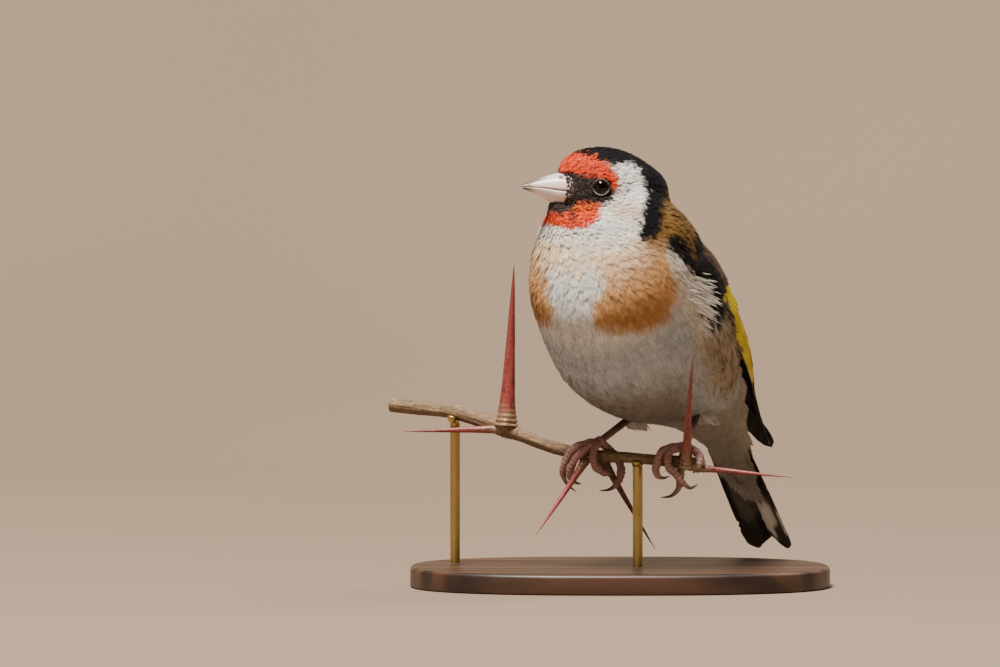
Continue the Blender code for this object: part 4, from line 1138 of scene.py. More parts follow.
def wing_coat_roots(side, kind):
    """Scattered roots on the folded wing for one kind of feather, and the way each of them points."""
    (x0, x1), (f0, f1), size = WING_COAT[kind]
    gap = size[0]
    rows = np.arange(x0, x1, gap)
    columns = np.arange(f0, f1, gap / 13.0)
    x, f = np.meshgrid(rows, columns, indexing="ij")
    x = (x + CHANCE.uniform(-0.45, 0.45, x.shape) * gap).ravel()
    f = (f + CHANCE.uniform(-0.45, 0.45, f.shape) * gap / 13.0).ravel()
    if kind == "scapulars":
        keep = x < 6.0 + 7.0 * ease(f, 0.36, 0.8)
        x, f = x[keep], f[keep]
    chord = wing_chord(x)
    spots, _ = wing_sheet(x, f * chord, side, 0.8)
    above, _ = wing_sheet(x, (f + 0.05) * chord, side, 0.8)
    ahead, _ = wing_sheet(x + 1.0, f * chord, side, 0.8)
    rise = 0.4 if kind == "fringe" else -0.06 if kind == "scapulars" else 0.0
    return spots, unit(unit(ahead - spots) + rise * unit(above - spots))


def wing_row(x):
    rows = along(WING, x)
    return rows[..., :3], rows[..., 3:6], rows[..., 6:]


def wing_chord(x):
    low, mid, high = wing_row(x)
    return np.linalg.norm(mid - low, axis=-1) + np.linalg.norm(high - mid, axis=-1)


def wing_sheet(x, across, side, lift=0.0):
    """Places on the folded wing's sheet, across millimetres above its lower edge, and outwards."""
    x, across = np.broadcast_arrays(np.asarray(x, float), np.asarray(across, float))
    low, mid, high = wing_row(x)
    y = (across / wing_chord(x))[..., None]
    spread = low * (1 - y) * (1 - 2 * y) + mid * 4 * y * (1 - y) + high * y * (2 * y - 1)
    slope = low * (4 * y - 3) + mid * (4 - 8 * y) + high * (4 * y - 1)
    after, before = wing_row(x + 0.5), wing_row(x - 0.5)
    run = (after[0] - before[0]) * (1 - y) + (after[2] - before[2]) * y
    out = unit(np.cross(run, slope))
    spot = spread + out * np.broadcast_to(np.asarray(lift, float), x.shape)[..., None]
    bend = RIGHT_TIP_SHIFT * np.maximum((x - RIGHT_TIP_FROM) / (WING[-1][0] - RIGHT_TIP_FROM), 0) ** 2
    aside = spot[..., 1] * side + (bend if side < 0 else 0)
    world = body_point(spot[..., 0], aside, spot[..., 2])
    outward_ = out[..., :1] * AXIS + out[..., 1:2] * side * LEFT + out[..., 2:] * BACK
    return world, outward_


WING_PAINT = {
    "black": linear("#0e0b0d"), "brown": linear("#241b19"), "dusk": linear("#5b564d"), "yellow": linear("#ead000"),
    "yellow_deep": linear("#c9a500"), "white": linear("#f0ebe2"), "shaft": linear("#1a1516"),
}
VANE_LONG = ((0.0, 0.55), (0.22, 0.9), (0.48, 1.0), (0.76, 1.0), (0.9, 0.8), (0.97, 0.5), (1.0, 0.12))
VANE_TAIL = ((0.0, 0.55), (0.22, 0.9), (0.48, 1.0), (0.8, 1.05), (0.93, 0.98), (0.98, 0.74), (1.0, 0.35))
VANE_SHORT = ((0.0, 0.7), (0.4, 1.0), (0.75, 0.96), (0.92, 0.7), (1.0, 0.2))
VANE_COLUMNS = np.array([-1.0, -0.86, -0.6, -0.3, -0.07, 0.0, 0.07, 0.3, 0.6, 0.86, 1.0])
VANE_THICKNESS = 0.16


def vane_grid(place_of, row, profile, rows, shaft, camber, seed, tilt=VANE_TILT):
    """Closed thin vane with a raised shaft, hollowed below, its edges nicked as real barbs part."""
    x0, c0, x1, c1, half, lift = row
    rng = np.random.default_rng(seed)
    share = np.linspace(0, 1, rows) ** 0.85
    width = along(profile, share)[:, 0]
    column = np.where(VANE_COLUMNS < 0, VANE_COLUMNS * (1 + shaft), VANE_COLUMNS * (1 - shaft)) + shaft
    nick = np.ones((rows, len(column)))
    for edge, inner in ((0, 1), (-1, -2)):
        cut = np.where(rng.random(rows) < 0.12, rng.uniform(0.05, 0.2, rows), 0) * ease(share, 0.2, 0.5)
        nick[:, edge] -= cut
        nick[:, inner] -= cut * 0.5
    across = column[None] * nick
    x = (x0 + (x1 - x0) * share)[:, None] + 0.25 * half * (1 - across**2) * ease(share, 0.8, 1)[:, None]
    c = (c0 + (c1 - c0) * share)[:, None] + half * width[:, None] * across
    risen = ROOT_LIFT + (1 - ROOT_LIFT) * share * share * (3 - 2 * share)
    high = lift * risen[:, None] - tilt / 2 * width[:, None] * across - camber * across**2
    ridge = 0.14 * np.exp(-((VANE_COLUMNS / 0.05) ** 2)) * (1 - share[:, None] * 0.8)
    wave = 0.03 * np.sin(share[:, None] * 40 + across * 3 + seed)
    thick = VANE_THICKNESS * (1 - 0.75 * abs(across) ** 3) / 2
    top = place_of(x, c, high + ridge + thick + wave)
    bottom = place_of(x, c, high - ridge * 0.6 - thick + wave)
    return share, across, x, top, bottom


def vane_arrays(top, bottom):
    """Points and triangles of a closed vane from its upper and lower grids."""
    rows, columns = top.shape[:2]
    points = np.concatenate([top.reshape(-1, 3), bottom.reshape(-1, 3)])
    r, k = np.meshgrid(np.arange(rows - 1), np.arange(columns - 1), indexing="ij")
    a = (r * columns + k).ravel()
    upper = np.stack([a, a + columns, a + columns + 1, a + 1], -1)
    lower = upper[:, ::-1] + rows * columns
    rim = [k for k in range(columns)]
    rim += [r * columns + columns - 1 for r in range(1, rows)]
    rim += [(rows - 1) * columns + k for k in range(columns - 2, -1, -1)]
    rim += [r * columns for r in range(rows - 2, 0, -1)]
    rim = np.array(rim)
    after = np.roll(rim, -1)
    wall = np.stack([rim, after, after + rows * columns, rim + rows * columns], -1)
    return points, np.concatenate([upper, lower, wall])


def feather_colour(kind, order, share, across, x, seed):
    """Linear colour over a wing feather: black with a yellow bar and white spots at the ends."""
    share = np.broadcast_to(share[:, None], across.shape)
    wander = 0.6 * np.sin(across * 5 + seed) + 0.35 * np.sin(across * 23 + 2 * seed)
    black = mixed(np.tile(WING_PAINT["black"], (across.size, 1)), WING_PAINT["brown"],
                  (0.5 * ease(abs(across), 0.7, 1.0)).ravel())
    yellow = mixed(np.tile(WING_PAINT["yellow"], (across.size, 1)), WING_PAINT["yellow_deep"],
                   (0.4 + 0.4 * np.sin(share * 60 + across * 9)).ravel() * 0.5)
    mark = np.zeros(across.shape)
    pale = np.zeros(across.shape)
    outer = 1 - ease(across, 0.1, 0.5)
    if kind == "primary":
        mark = ease(x + wander, 19, 21) * (1 - ease(x + wander + 3 * across, 46, 48.5))
        mark = mark * (outer if order else 0)
        pale = ease(share + 0.012 * wander, 0.955, 0.97) * (0.35 + 0.65 * ease(across, -0.6, 0.4))
    if kind == "secondary":
        mark = ease(x + wander, 18, 20) * (1 - ease(x + wander, 40, 42.5)) * outer
        pale = ease(share + 0.02 * wander + 0.03 * across, 0.93, 0.95)
    if kind == "tertial":
        pale = ease(share + 0.02 * wander - 0.05 * across, 0.88, 0.91)
    if kind == "greater":
        mark = ease(share + 0.03 * wander, 0.42, 0.5) * (1 if order < 5 else 0.0)
    colour = mixed(black, yellow, mark.ravel())
    colour = mixed(colour, WING_PAINT["white"], pale.ravel())
    return mixed(colour, WING_PAINT["shaft"], 0.8 * (abs(across - across[:, 5:6]) < 0.03).ravel())


def gather(name, parts, cells):
    """One piece from many closed vanes; each keeps a strip of its own on the baking map."""
    points, faces, colours, strips, grain = [], [], [], [], []
    base = 0
    for i, (top, bottom, colour, share, across, size) in enumerate(parts):
        spots, quads = vane_arrays(top, bottom)
        points.append(spots)
        faces.append(quads + base)
        base += len(spots)
        colours.append(np.concatenate(colour))
        u = np.broadcast_to(share[:, None], across.shape).ravel()
        v = (across * 0.5 + 0.5).ravel()
        for half in (0, 1):
            strips.append(np.stack([0.02 + 0.96 * u, (2 * i + half + 0.1 + 0.8 * v) / (2 * cells)], -1))
            grain.append(np.stack([u * size[0], across.ravel() * size[1]], -1))
    obj = new_object(name, np.concatenate(points), np.concatenate(faces))
    paint(obj, np.concatenate(colours))
    lay_uv(obj, np.concatenate(strips))
    lay_uv(obj, np.concatenate(grain), "Barbs")
    return obj


WING_TIERS = (
    ("primary", PRIMARIES, VANE_LONG, 56, -0.4, 0.10),
    ("secondary", SECONDARIES, VANE_LONG, 44, -0.25, 0.14),
    ("tertial", TERTIALS, VANE_LONG, 40, -0.1, 0.2),
    ("primary_covert", PRIMARY_COVERTS, VANE_SHORT, 26, -0.2, 0.12),
    ("greater", GREATER_COVERTS, VANE_SHORT, 26, -0.15, 0.18),
    ("median", MEDIAN_COVERTS, VANE_SHORT, 22, -0.05, 0.2),
)


# Inner vanes of the long feathers, which cross over the rump: root and tip on the body, half width.
CROSSING = {
    1: (
        ((-28.4, 8.7, 15.5), (-48.7, 2.9, 19.5), 1.15), ((-32.2, 7.1, 16.0), (-52.0, 1.3, 20.0), 1.15),
        ((-34.5, 4.5, 16.4), (-49.9, 0.4, 19.6), 1.3),
    ),
    -1: (((-36.5, 2.2, 16.0), (-56.5, 4.0, 21.0), 1.8), ((-34.5, -4.5, 16.4), (-49.9, -0.4, 19.6), 1.3)),
}


def wing_feathers(name, side):
    parts = []
    for kind, tier, profile, rows, shaft, camber in WING_TIERS:
        for order, row in enumerate(tier):
            seed = 11 * order + len(kind)
            share, across, x, top, bottom = vane_grid(
                lambda x_, c_, h_: wing_sheet(x_, c_, side, h_ + 0.12)[0], row, profile, rows, shaft,
                camber, seed,
            )
            colour = feather_colour(kind, order, share, across, x, seed)
            # The vane's underside takes its upper colours at 0.62: painted shade.
            parts.append((top, bottom, (colour, colour * 0.62), share, across, (row[2] - row[0], row[4])))
    for order, (start, end, half) in enumerate(CROSSING[side]):
        first, last = body_point(*start), body_point(*end)
        run = unit(last - first)
        wide = unit(np.array([1.0, 0.0, 0.0]) - run * run[0])
        length = float(np.linalg.norm(last - first))

        def place_of(k, c, h, first=first, run=run, wide=wide):
            return (first + run * k[..., None] + wide * c[..., None]
                    + np.cross(wide, run) * h[..., None])

        row = (0.0, 0.0, length, 0.0, half, 0.0)
        share, across, x, top, bottom = vane_grid(place_of, row, VANE_LONG, 36, -0.1, 0.08, order, 0.05)
        colour = feather_colour("inner", order, share, across, x, order)
        # The vane's underside takes its upper colours at 0.62: painted shade.
        parts.append((top, bottom, (colour, colour * 0.62), share, across, (length, half)))
    return gather(name, parts, len(parts))


def wing_pad(side):
    """The body of the folded wing under its feathers."""
    x = np.linspace(-3.0, WING_PAD_REACH, 34)
    f = np.linspace(0, 1, 13)
    grid_x, grid_f = np.meshgrid(x, f, indexing="ij")
    c = 0.7 + (wing_chord(grid_x) - 1.4) * grid_f
    fade = np.maximum(4 * grid_f * (1 - grid_f), 0.02) ** 0.5
    fade = fade * np.maximum(np.sin(math.pi * np.linspace(0.02, 0.98, 34)), 0.05)[:, None] ** 0.35
    top = wing_sheet(grid_x, c, side, 0.25 * fade)[0]
    bottom = wing_sheet(grid_x, c, side, -WING_PAD_DEPTH * fade)[0]
    points, quads = vane_arrays(top, bottom)
    return outward(new_object("wing_pad", points, quads))


def wing_shell(side):
    """Closed plain form of the folded wing and its coverts, over which the body's feathers lie."""
    x = np.linspace(-4.0, 62.0, 45)
    f = np.linspace(0, 1, 17)
    grid_x, grid_f = np.meshgrid(x, f, indexing="ij")
    c = wing_chord(grid_x) * grid_f
    fade = np.clip(4 * grid_f * (1 - grid_f), 0.0, 1) ** 0.35
    ends = (ease(x, -5.5, 2) * 0.9 + 0.1)[:, None] * np.ones_like(fade)
    top = wing_sheet(grid_x, c, side, 0.2 + 1.3 * fade * ends)[0]
    bottom = wing_sheet(grid_x, c, side, -2.2 * fade * ends)[0]
    points, quads = vane_arrays(top, bottom)
    return outward(new_object("wing_shell", points, quads))


def tail_feathers(name):
    parts = []
    for pair in reversed(range(len(RECTRICES))):
        for side in (1, -1):
            root_aside, tip_aside, tip, half = RECTRICES[pair]
            drop = -RECTRIX_STEP * (pair + (RECTRIX_STAGGER if side < 0 else 0.0))

            def place_of(k, aside, high, side=side, drop=drop):
                return tail_point(k, side * aside, drop - 0.035 * aside * abs(aside) + high)

            row = (RECTRIX_ROOT, root_aside, tip, tip_aside, half, 0.0)
            shaft = 0.5 * (pair / 5)
            seed = pair * 7 + side + 1
            share, across, x, top, bottom = vane_grid(
                place_of, row, VANE_TAIL, 50, shaft, 0.1, seed, 0.06
            )
            run = np.broadcast_to(share[:, None], across.shape)
            black = mixed(np.tile(WING_PAINT["black"], (across.size, 1)), WING_PAINT["brown"],
                          (0.5 * ease(abs(across), 0.7, 1.0)).ravel())
            wander = 0.02 * np.sin(across * 9 + seed)
            web = shaft - (0.4 if side > 0 else 0.0)
            inner = 1 - ease(across, web - 0.1, web + 0.05)
            spot = ease(run + wander, 0.67, 0.74) * (1 - ease(run + wander + 0.1 * across, 0.82, 0.86))
            panel = inner * spot
            # Mask of an olive-grey panel on the inner webs' undersides: painted shade over the white spots, partly
            # the underside's own greyer tone.
            dusk = inner * ease(run + wander, 0.36, 0.5) * (1 - ease(run + wander, 0.78, 0.84))
            edge = ease(run, 0.72, 0.76) * (1 - ease(run, 0.88, 0.92)) * ease(across, 0.5, 0.75)
            pale = np.maximum(panel, edge if pair == 5 and side > 0 else 0) if pair >= 3 else (
                ease(run + wander - 0.02 * across, 0.945, 0.965)
            )
            # The underside: black at 0.7 and white at 0.9 of the upper side's, painted shade; its white spots shown
            # only on the bird's left feathers, painted shade hiding them on the right.
            under = mixed(black * 0.7, WING_PAINT["dusk"], 0.8 * (dusk if pair >= 3 else 0 * run).ravel())
            shown = pale if side > 0 and pair >= 3 else 0 * run
            under = mixed(under, WING_PAINT["white"] * 0.9, shown.ravel())
            colour = mixed(black, WING_PAINT["white"], pale.ravel())
            parts.append((top, bottom, (colour, under), share, across, (tip - RECTRIX_ROOT, half)))
    obj = gather(name, parts, len(parts))
    return obj


def vane_material(name):
    """Wing and tail keratin: close barbs that run off the shaft at a slant and shine a little."""
    material, tree, shader, place_ = new_material(name)
    colour = add_node(tree, "ShaderNodeAttribute", attribute_name="Plumage")
    grain = add_node(tree, "ShaderNodeUVMap", uv_map="Barbs")
    parts = add_node(tree, "ShaderNodeSeparateXYZ", {0: grain.outputs[0]})
    slant = add_node(tree, "ShaderNodeMath", {0: parts.outputs[1]}, operation="ABSOLUTE")
    run = add_node(
        tree, "ShaderNodeMath", {0: slant.outputs[0], 1: -1.6, 2: parts.outputs[0]},
        operation="MULTIPLY_ADD",
    )
    line = add_node(tree, "ShaderNodeMath", {0: run.outputs[0], 1: 2 * math.pi / 0.42}, operation="MULTIPLY")
    barb = add_node(tree, "ShaderNodeMath", {0: line.outputs[0]}, operation="SINE")
    shade = add_node(
        tree, "ShaderNodeMapRange",
        {"Value": barb.outputs[0], "From Min": -1.0, "From Max": 1.0, "To Min": 0.82, "To Max": 1.08},
    )
    toned = add_node(
        tree, "ShaderNodeVectorMath", {0: colour.outputs["Color"], 1: shade.outputs[0]}, operation="MULTIPLY"
    )
    tree.links.new(toned.outputs[0], shader.inputs["Base Color"])
    bump = add_node(
        tree, "ShaderNodeBump", {"Height": barb.outputs[0], "Strength": 0.35, "Distance": 0.05 * MM}
    )
    tree.links.new(bump.outputs[0], shader.inputs["Normal"])
    dust = add_node(tree, "ShaderNodeTexNoise", {"Vector": place_, "Scale": per_mm(3.0), "Detail": 3.0})
    rough = add_node(
        tree, "ShaderNodeMapRange", {"Value": dust.outputs["Fac"], "To Min": 0.42, "To Max": 0.62}
    )
    tree.links.new(rough.outputs[0], shader.inputs["Roughness"])
    shader.inputs["Specular IOR Level"].default_value = 0.25
    return material


HORN = {
    "pale": linear("#efd9cf"), "pink": linear("#dfb3a6"), "dusk": linear("#574a41"),
    "claw": linear("#4b382d"), "claw_pale": linear("#8d7360"),
    "toe": linear("#ad8175"), "toe_dark": linear("#5d362e"), "leg": linear("#5c3d33"),
    "lid": linear("#2a2321"), "lid_pale_highlight": linear("#8d8580"),
    "iris": linear("#1f0f08"), "pupil": linear("#030202"),
}
MOUTH_GAP = 0.14


def bill_half(name, upper):
    s = np.linspace(BILL[0][0], BILL[-1][0] if upper else BILL_LOWER_END, 52)
    ridge, cut, under, width = along(BILL, s).T
    wave = 0.12 * np.exp(-(((s - 12.6) / 1.3) ** 2))
    cut = cut - wave
    turn = np.linspace(0, math.pi, 25)
    floor = cut + (MOUTH_GAP / 2 if upper else -MOUTH_GAP / 2)
    top = np.maximum(ridge, floor + 0.12) if upper else np.minimum(under, floor - 0.1)
    peak = np.sin(turn) ** (0.92 if upper else 1.0)
    across = np.sign(np.cos(turn)) * abs(np.cos(turn)) ** 0.94
    rings = head_point(
        np.broadcast_to(s[:, None], (len(s), len(turn))), width[:, None] * across,
        floor[:, None] + (top - floor)[:, None] * peak,
    )
    inner = np.linspace(-0.9, 0.9, 7)
    hollow = 0.35 * np.minimum(width, 1.6)[:, None] * (1 - inner**2) * (0.8 if upper else 0.6)
    roof = head_point(
        np.broadcast_to(s[:, None], hollow.shape), width[:, None] * inner,
        floor[:, None] + hollow * (1 if upper else -1) * np.minimum(1, abs(top - floor)[:, None]),
    )
    obj = loft(name, np.concatenate([rings, roof], 1))
    points = points_of(obj)
    ahead, aside, up = head_coords(points)
    streak = np.sin(up * 9 + 2 * np.sin(ahead * 1.3)) * np.sin(up * 23 + ahead)
    colour = np.tile(HORN["pale"], (len(points), 1))
    colour = mixed(colour, HORN["pink"], 0.5 * (1 - ease(ahead, 9.5, 13.5)) + 0.1 * ease(streak, -0.4, 1))
    ridge_at = along(BILL, ahead)[:, 0]
    culmen = ease(up - ridge_at, -0.9, -0.1) * ease(ahead, 12.8, 16) if upper else 0 * ahead
    colour = mixed(colour, HORN["dusk"], 0.85 * culmen)
    colour = mixed(colour, HORN["dusk"], 0.9 * ease(ahead, 15.8, 18.2))
    edge = 1 - ease(abs(up - (along(BILL, ahead)[:, 1])), 0.05, 0.35)
    colour = mixed(colour, HORN["dusk"], 0.35 * edge)
    if upper:
        fore, side, high, radius = NOSTRIL
        for sign in (1, -1):
            gap = np.hypot((ahead - fore) / 1.25, up - high) + 3.0 * (np.sign(aside) != sign)
            inward = 0.35 * (1 - ease(gap, radius * 0.5, radius * 1.15))
            points = points - HEAD_LEFT * (sign * inward)[:, None]
            # The nostril's hollow painted dark: painted shade.
            colour = mixed(colour, HORN["claw"], 1 - ease(gap, radius * 0.45, radius))
        move_points(obj, points)
    paint(obj, colour)
    return obj


def eyeball(name, centre, look):
    """Dark eye: an iris hardly paler than the pupil, with a domed front."""
    rise, turn = np.meshgrid(np.linspace(0, math.pi, 33)[1:-1], np.arange(48) * 2 * math.pi / 48, indexing="ij")
    across = unit(np.cross(look, UP))
    high = np.cross(across, look)
    dome = 1 + 0.05 * np.exp(-((rise / 0.75) ** 4))
    rings = centre + EYE_RADIUS * dome[..., None] * (
        np.cos(rise)[..., None] * look
        + np.sin(rise)[..., None] * (np.cos(turn)[..., None] * across + np.sin(turn)[..., None] * high)
    )
    obj = loft(name, rings)
    away = points_of(obj) - centre
    off = np.degrees(np.arccos(np.clip(unit(away) @ look, -1, 1)))
    colour = np.tile(HORN["pupil"], (len(away), 1))
    paint(obj, mixed(colour, HORN["iris"], ease(off, 26, 34) * (1 - 0.6 * ease(off, 46, 54))))
    return obj


def eyelid(centre, look):
    """Bare wrinkled rim round an eye, a little narrower at its two corners."""
    middle = centre + look * LID_REACH
    ahead = unit(HEAD_AXIS - look * (HEAD_AXIS @ look))
    high = np.cross(look, ahead)
    high = high * np.sign(high @ UP)
    step = np.arange(96) * 2 * math.pi / 96
    section = np.arange(12) * 2 * math.pi / 12
    a, b = np.meshgrid(step, section, indexing="ij")
    corner = 1 + 0.09 * np.cos(a) ** 6
    bead = 1 + 0.16 * np.sin(a * 17) * (np.sin(b) > 0) + 0.08 * np.sin(a * 31)
    thick = 0.2 * bead
    reach = LID_RADIUS * corner + thick * np.cos(b)
    out = np.cos(a)[..., None] * ahead + np.sin(a)[..., None] * high * 0.97
    back = 0.12 * np.cos(a) ** 2
    rings = middle + out * reach[..., None] + look * (thick * np.sin(b) - 0.02 - back)[..., None]
    count, sides = rings.shape[:2]
    i, k = np.meshgrid(np.arange(count), np.arange(sides), indexing="ij")
    j, m = (i + 1) % count, (k + 1) % sides
    faces = np.stack([i * sides + k, j * sides + k, j * sides + m, i * sides + m], -1).reshape(-1, 4)
    obj = outward(new_object("lid", rings.reshape(-1, 3), faces))
    off = np.linalg.norm(np.cross(points_of(obj) - centre, look), axis=1)
    # The inner rim painted paler: a painted highlight, partly the rim's own paler skin.
    tone = (1 - ease(off, LID_RADIUS - 0.12, LID_RADIUS + 0.05)) * 0.9
    paint(obj, mixed(np.tile(HORN["lid"], (len(tone), 1)), HORN["lid_pale_highlight"], tone))
    return obj


def twig_point(x):
    row = along(TWIG, x)
    x = np.asarray(x, float)
    return np.stack([x, TWIG_DEPTH + TWIG_SLANT * (x - TWIG_PIVOT), row[..., 0]], -1)


def twig_frame(x):
    x = np.asarray(x, float)
    run = unit(twig_point(x + 0.5) - twig_point(x - 0.5))
    front = unit(np.cross(run, UP))
    return twig_point(x), run, front, np.cross(front, run)


def by_twig(x, front, rise):
    middle, _, forward, up = twig_frame(x)
    return middle + forward * np.asarray(front)[..., None] + up * np.asarray(rise)[..., None]


def scuted_tube(name, path, radii, sides, hint, gap, depth, pads=0.0, wave=0.0):
    """Limb with overlapping scutes along its upper side and soft pads along its lower side."""
    path, radii = np.asarray(path, float), np.asarray(radii, float)
    run = np.concatenate([[0], np.cumsum(np.linalg.norm(np.diff(path, axis=0), axis=1))])
    turn = np.arange(sides) * 2 * math.pi / sides
    upper = ease(np.sin(turn), -0.15, 0.35)[None]
    scute = (run[:, None] / gap + 0.12 * np.cos(turn)[None]) % 1.0
    step = (scute - 0.5) * depth - 0.5 * depth * np.exp(-((scute / 0.1) ** 2))
    grain = 0.02 * np.sin(run[:, None] * 19 + 5 * turn[None]) * np.sin(3 * turn[None] + run[:, None] * 7)
    pad = pads * (0.5 + 0.5 * np.sin(run[:, None] * 2 * math.pi / 2.1 + wave)) * (1 - upper)
    size = radii[:, None] + upper * step + (grain + pad) * (radii[:, None] / radii.max())
    _, side, rise = path_frames(path, np.asarray(hint, float))
    rings = path[:, None] + size[..., None] * (
        side[:, None] * np.cos(turn)[None, :, None] + rise[:, None] * np.sin(turn)[None, :, None]
    )
    points, faces = loft_arrays(rings)
    obj = new_object(name, points, faces)
    # Masks of the creases between scutes and of the lower side, used for painted shade.
    crease = np.concatenate([(upper * np.exp(-((scute / 0.13) ** 2))).ravel(), [0, 0]])
    below = np.concatenate([np.broadcast_to(1 - upper, size.shape).ravel(), [0, 0]])
    return obj, crease, below, np.concatenate([np.repeat(run, sides), [run[0], run[-1]]])


CLAW_START = 5.35  # knot of the toe's path where its claw comes out


def toe_and_claw(x, points):
    knots = [(k, *point, radius) for k, (point, radius) in enumerate(zip(points, TOE_RADII))]

    def stretch(start, end, count):
        k = np.linspace(start, end, count)
        slide, front, rise, radius = along(knots, k).T
        return k, by_twig(x + slide, front, rise), radius

    k, path, radius = stretch(0, CLAW_START, 90)
    knob = 0.05 * np.cos((k - 0.3) * 2 * math.pi / 1.5)
    closing = 1 - 0.5 * ease(k, CLAW_START - 0.28, CLAW_START)
    hint = twig_frame(x)[1]
    toe, crease, below, run = scuted_tube(
        "toe", path, (radius + knob) * closing * 0.98, 20, hint, 0.82, 0.17, 0.1, x
    )
    tone = 0.5 + 0.5 * np.sin(run * 1.7 + x)
    colour = mixed(np.tile(HORN["toe"], (len(run), 1)), HORN["toe_dark"], 0.25 * tone)
    # Darker in the creases between scutes, painted shade partly the seams' own darker skin, and darker on the lower
    # side, painted shade.
    colour = mixed(colour, HORN["toe_dark"], np.clip(0.85 * crease + 0.35 * below, 0, 1))
    paint(toe, colour)
    k, path, radius = stretch(CLAW_START - 0.3, 7, 46)
    share = (k - k[0]) / (k[-1] - k[0])
    radius = 0.5 * (1 - share) ** 0.8 * (1 - 0.15 * share) + 0.045
    _, side, rise = path_frames(path, hint)
    turn = np.arange(16) * 2 * math.pi / 16
    rings = path[:, None] + radius[:, None, None] * (
        side[:, None] * 0.78 * np.cos(turn)[None, :, None] + rise[:, None] * 1.08 * np.sin(turn)[None, :, None]
    )
    points_, faces = loft_arrays(rings)
    claw = new_object("claw", points_, faces)
    share = np.concatenate([np.repeat(share, 16), [0, 1]])
    paint(claw, mixed(np.tile(HORN["claw_pale"], (len(share), 1)), HORN["claw"], ease(share, 0.05, 0.6)))
    return toe, claw


def foot_pieces(side):
    x = LEGS[side][2]
    hub = by_twig(x, *HUBS[side])
    ball = bmesh.new()
    bmesh.ops.create_uvsphere(ball, u_segments=28, v_segments=18, radius=1.12 * MM)
    mesh = bpy.data.meshes.new("hub")
    ball.to_mesh(mesh)
    ball.free()
    knuckle = bpy.data.objects.new("hub", mesh)
    bpy.context.scene.collection.objects.link(knuckle)
    spots = points_of(knuckle)
    move_points(knuckle, spots * (1 + 0.03 * ripple(spots, 0.7, 40))[:, None] + hub)
    paint(knuckle, mixed(np.tile(HORN["toe"], (len(spots), 1)), HORN["toe_dark"],
                         0.5 * ease(ripple(spots, 0.6, 41), -0.2, 0.8)))
    mesh.shade_smooth()
    made = [toe_and_claw(x, points) for points in TOES[side]]
    foot = join("foot_" + side + "_scales", [knuckle] + [toe for toe, _ in made])
    claws = join("claws_" + side, [claw for _, claw in made])
    return outward(foot), outward(claws)


def leg_piece(side):
    start, heel, x = LEGS[side]
    start, heel = np.array(start), np.array(heel)
    hub = by_twig(x, *HUBS[side])
    down, up = unit(hub - heel), unit(start - heel)
    marks = np.array([heel + up * 4.0, heel + up * 1.4, heel, heel + down * 1.4, (heel + hub) / 2,
                      hub - down * 1.2, hub - down * 0.3])
    radii = (0.8, 0.85, 0.92, 0.78, TARSUS_RADIUS, 0.72, 0.85)
    table = [(k, *mark, radius) for k, (mark, radius) in enumerate(zip(marks, radii))]
    rows = along(table, np.linspace(0, len(marks) - 1, 130))
    path, radius = rows[:, :3], rows[:, 3]
    front = np.cross(AXIS, down)
    leg, crease, below, run = scuted_tube("leg_" + side + "_scales", path, radius, 26, front, 1.05, 0.12)
    # The leg is dark brown down to near the foot: painted shade under the body, partly the leg's own brown.
    colour = mixed(np.tile(HORN["leg"], (len(run), 1)), HORN["toe"], 0.55 * ease(run, 9, 13))
    # Darker in the creases between scutes, painted shade partly the seams' own darker skin, and darker on the lower
    # side, painted shade.
    colour = mixed(colour, HORN["toe_dark"], np.clip(0.85 * crease + 0.25 * below, 0, 1))
    paint(leg, colour)
    return outward(leg)


def painted_material(name, roughness, specular=0.5, coat=0.0, grain=0.3, relief=0.02, ior=1.54, mottle=0.12):
    """Colour from the piece's own points, broken by fine grain, with shine that varies over it."""
    material, tree, shader, place_ = new_material(name)
    colour = add_node(tree, "ShaderNodeAttribute", attribute_name="Plumage")
    noise = add_node(tree, "ShaderNodeTexNoise", {"Vector": place_, "Scale": per_mm(grain), "Detail": 5.0})
    shade = add_node(
        tree, "ShaderNodeMapRange",
        {"Value": noise.outputs["Fac"], "From Min": 0.3, "From Max": 0.7, "To Min": 1 - mottle, "To Max": 1 + mottle},
    )
    toned = add_node(
        tree, "ShaderNodeVectorMath", {0: colour.outputs["Color"], 1: shade.outputs[0]}, operation="MULTIPLY"
    )
    tree.links.new(toned.outputs[0], shader.inputs["Base Color"])
    gloss = add_node(
        tree, "ShaderNodeMapRange",
        {"Value": noise.outputs["Fac"], "To Min": roughness * 0.8, "To Max": roughness * 1.25},
    )
    tree.links.new(gloss.outputs[0], shader.inputs["Roughness"])
    bump = add_node(
        tree, "ShaderNodeBump", {"Height": noise.outputs["Fac"], "Strength": 0.5, "Distance": relief * MM}
    )
    tree.links.new(bump.outputs[0], shader.inputs["Normal"])
    shader.inputs["IOR"].default_value = ior
    shader.inputs["Specular IOR Level"].default_value = specular
    shader.inputs["Coat Weight"].default_value = coat
    shader.inputs["Coat Roughness"].default_value = 0.06
    return material


BARK = {
    "tan": linear("#8a6d4e"), "light": linear("#a98d68"), "dark": linear("#4a3527"), "green": linear("#6f6a45"),
    "thorn": linear("#8f3f39"), "thorn_deep": linear("#4a1715"), "thorn_tip": linear("#6b3a2c"),
    "wood": linear("#c9ab7c"), "pith": linear("#8c6a45"),
}


SHADED_THORN = 3  # the one behind the twig is painted dark brown all over: painted shade, partly its own darker bark


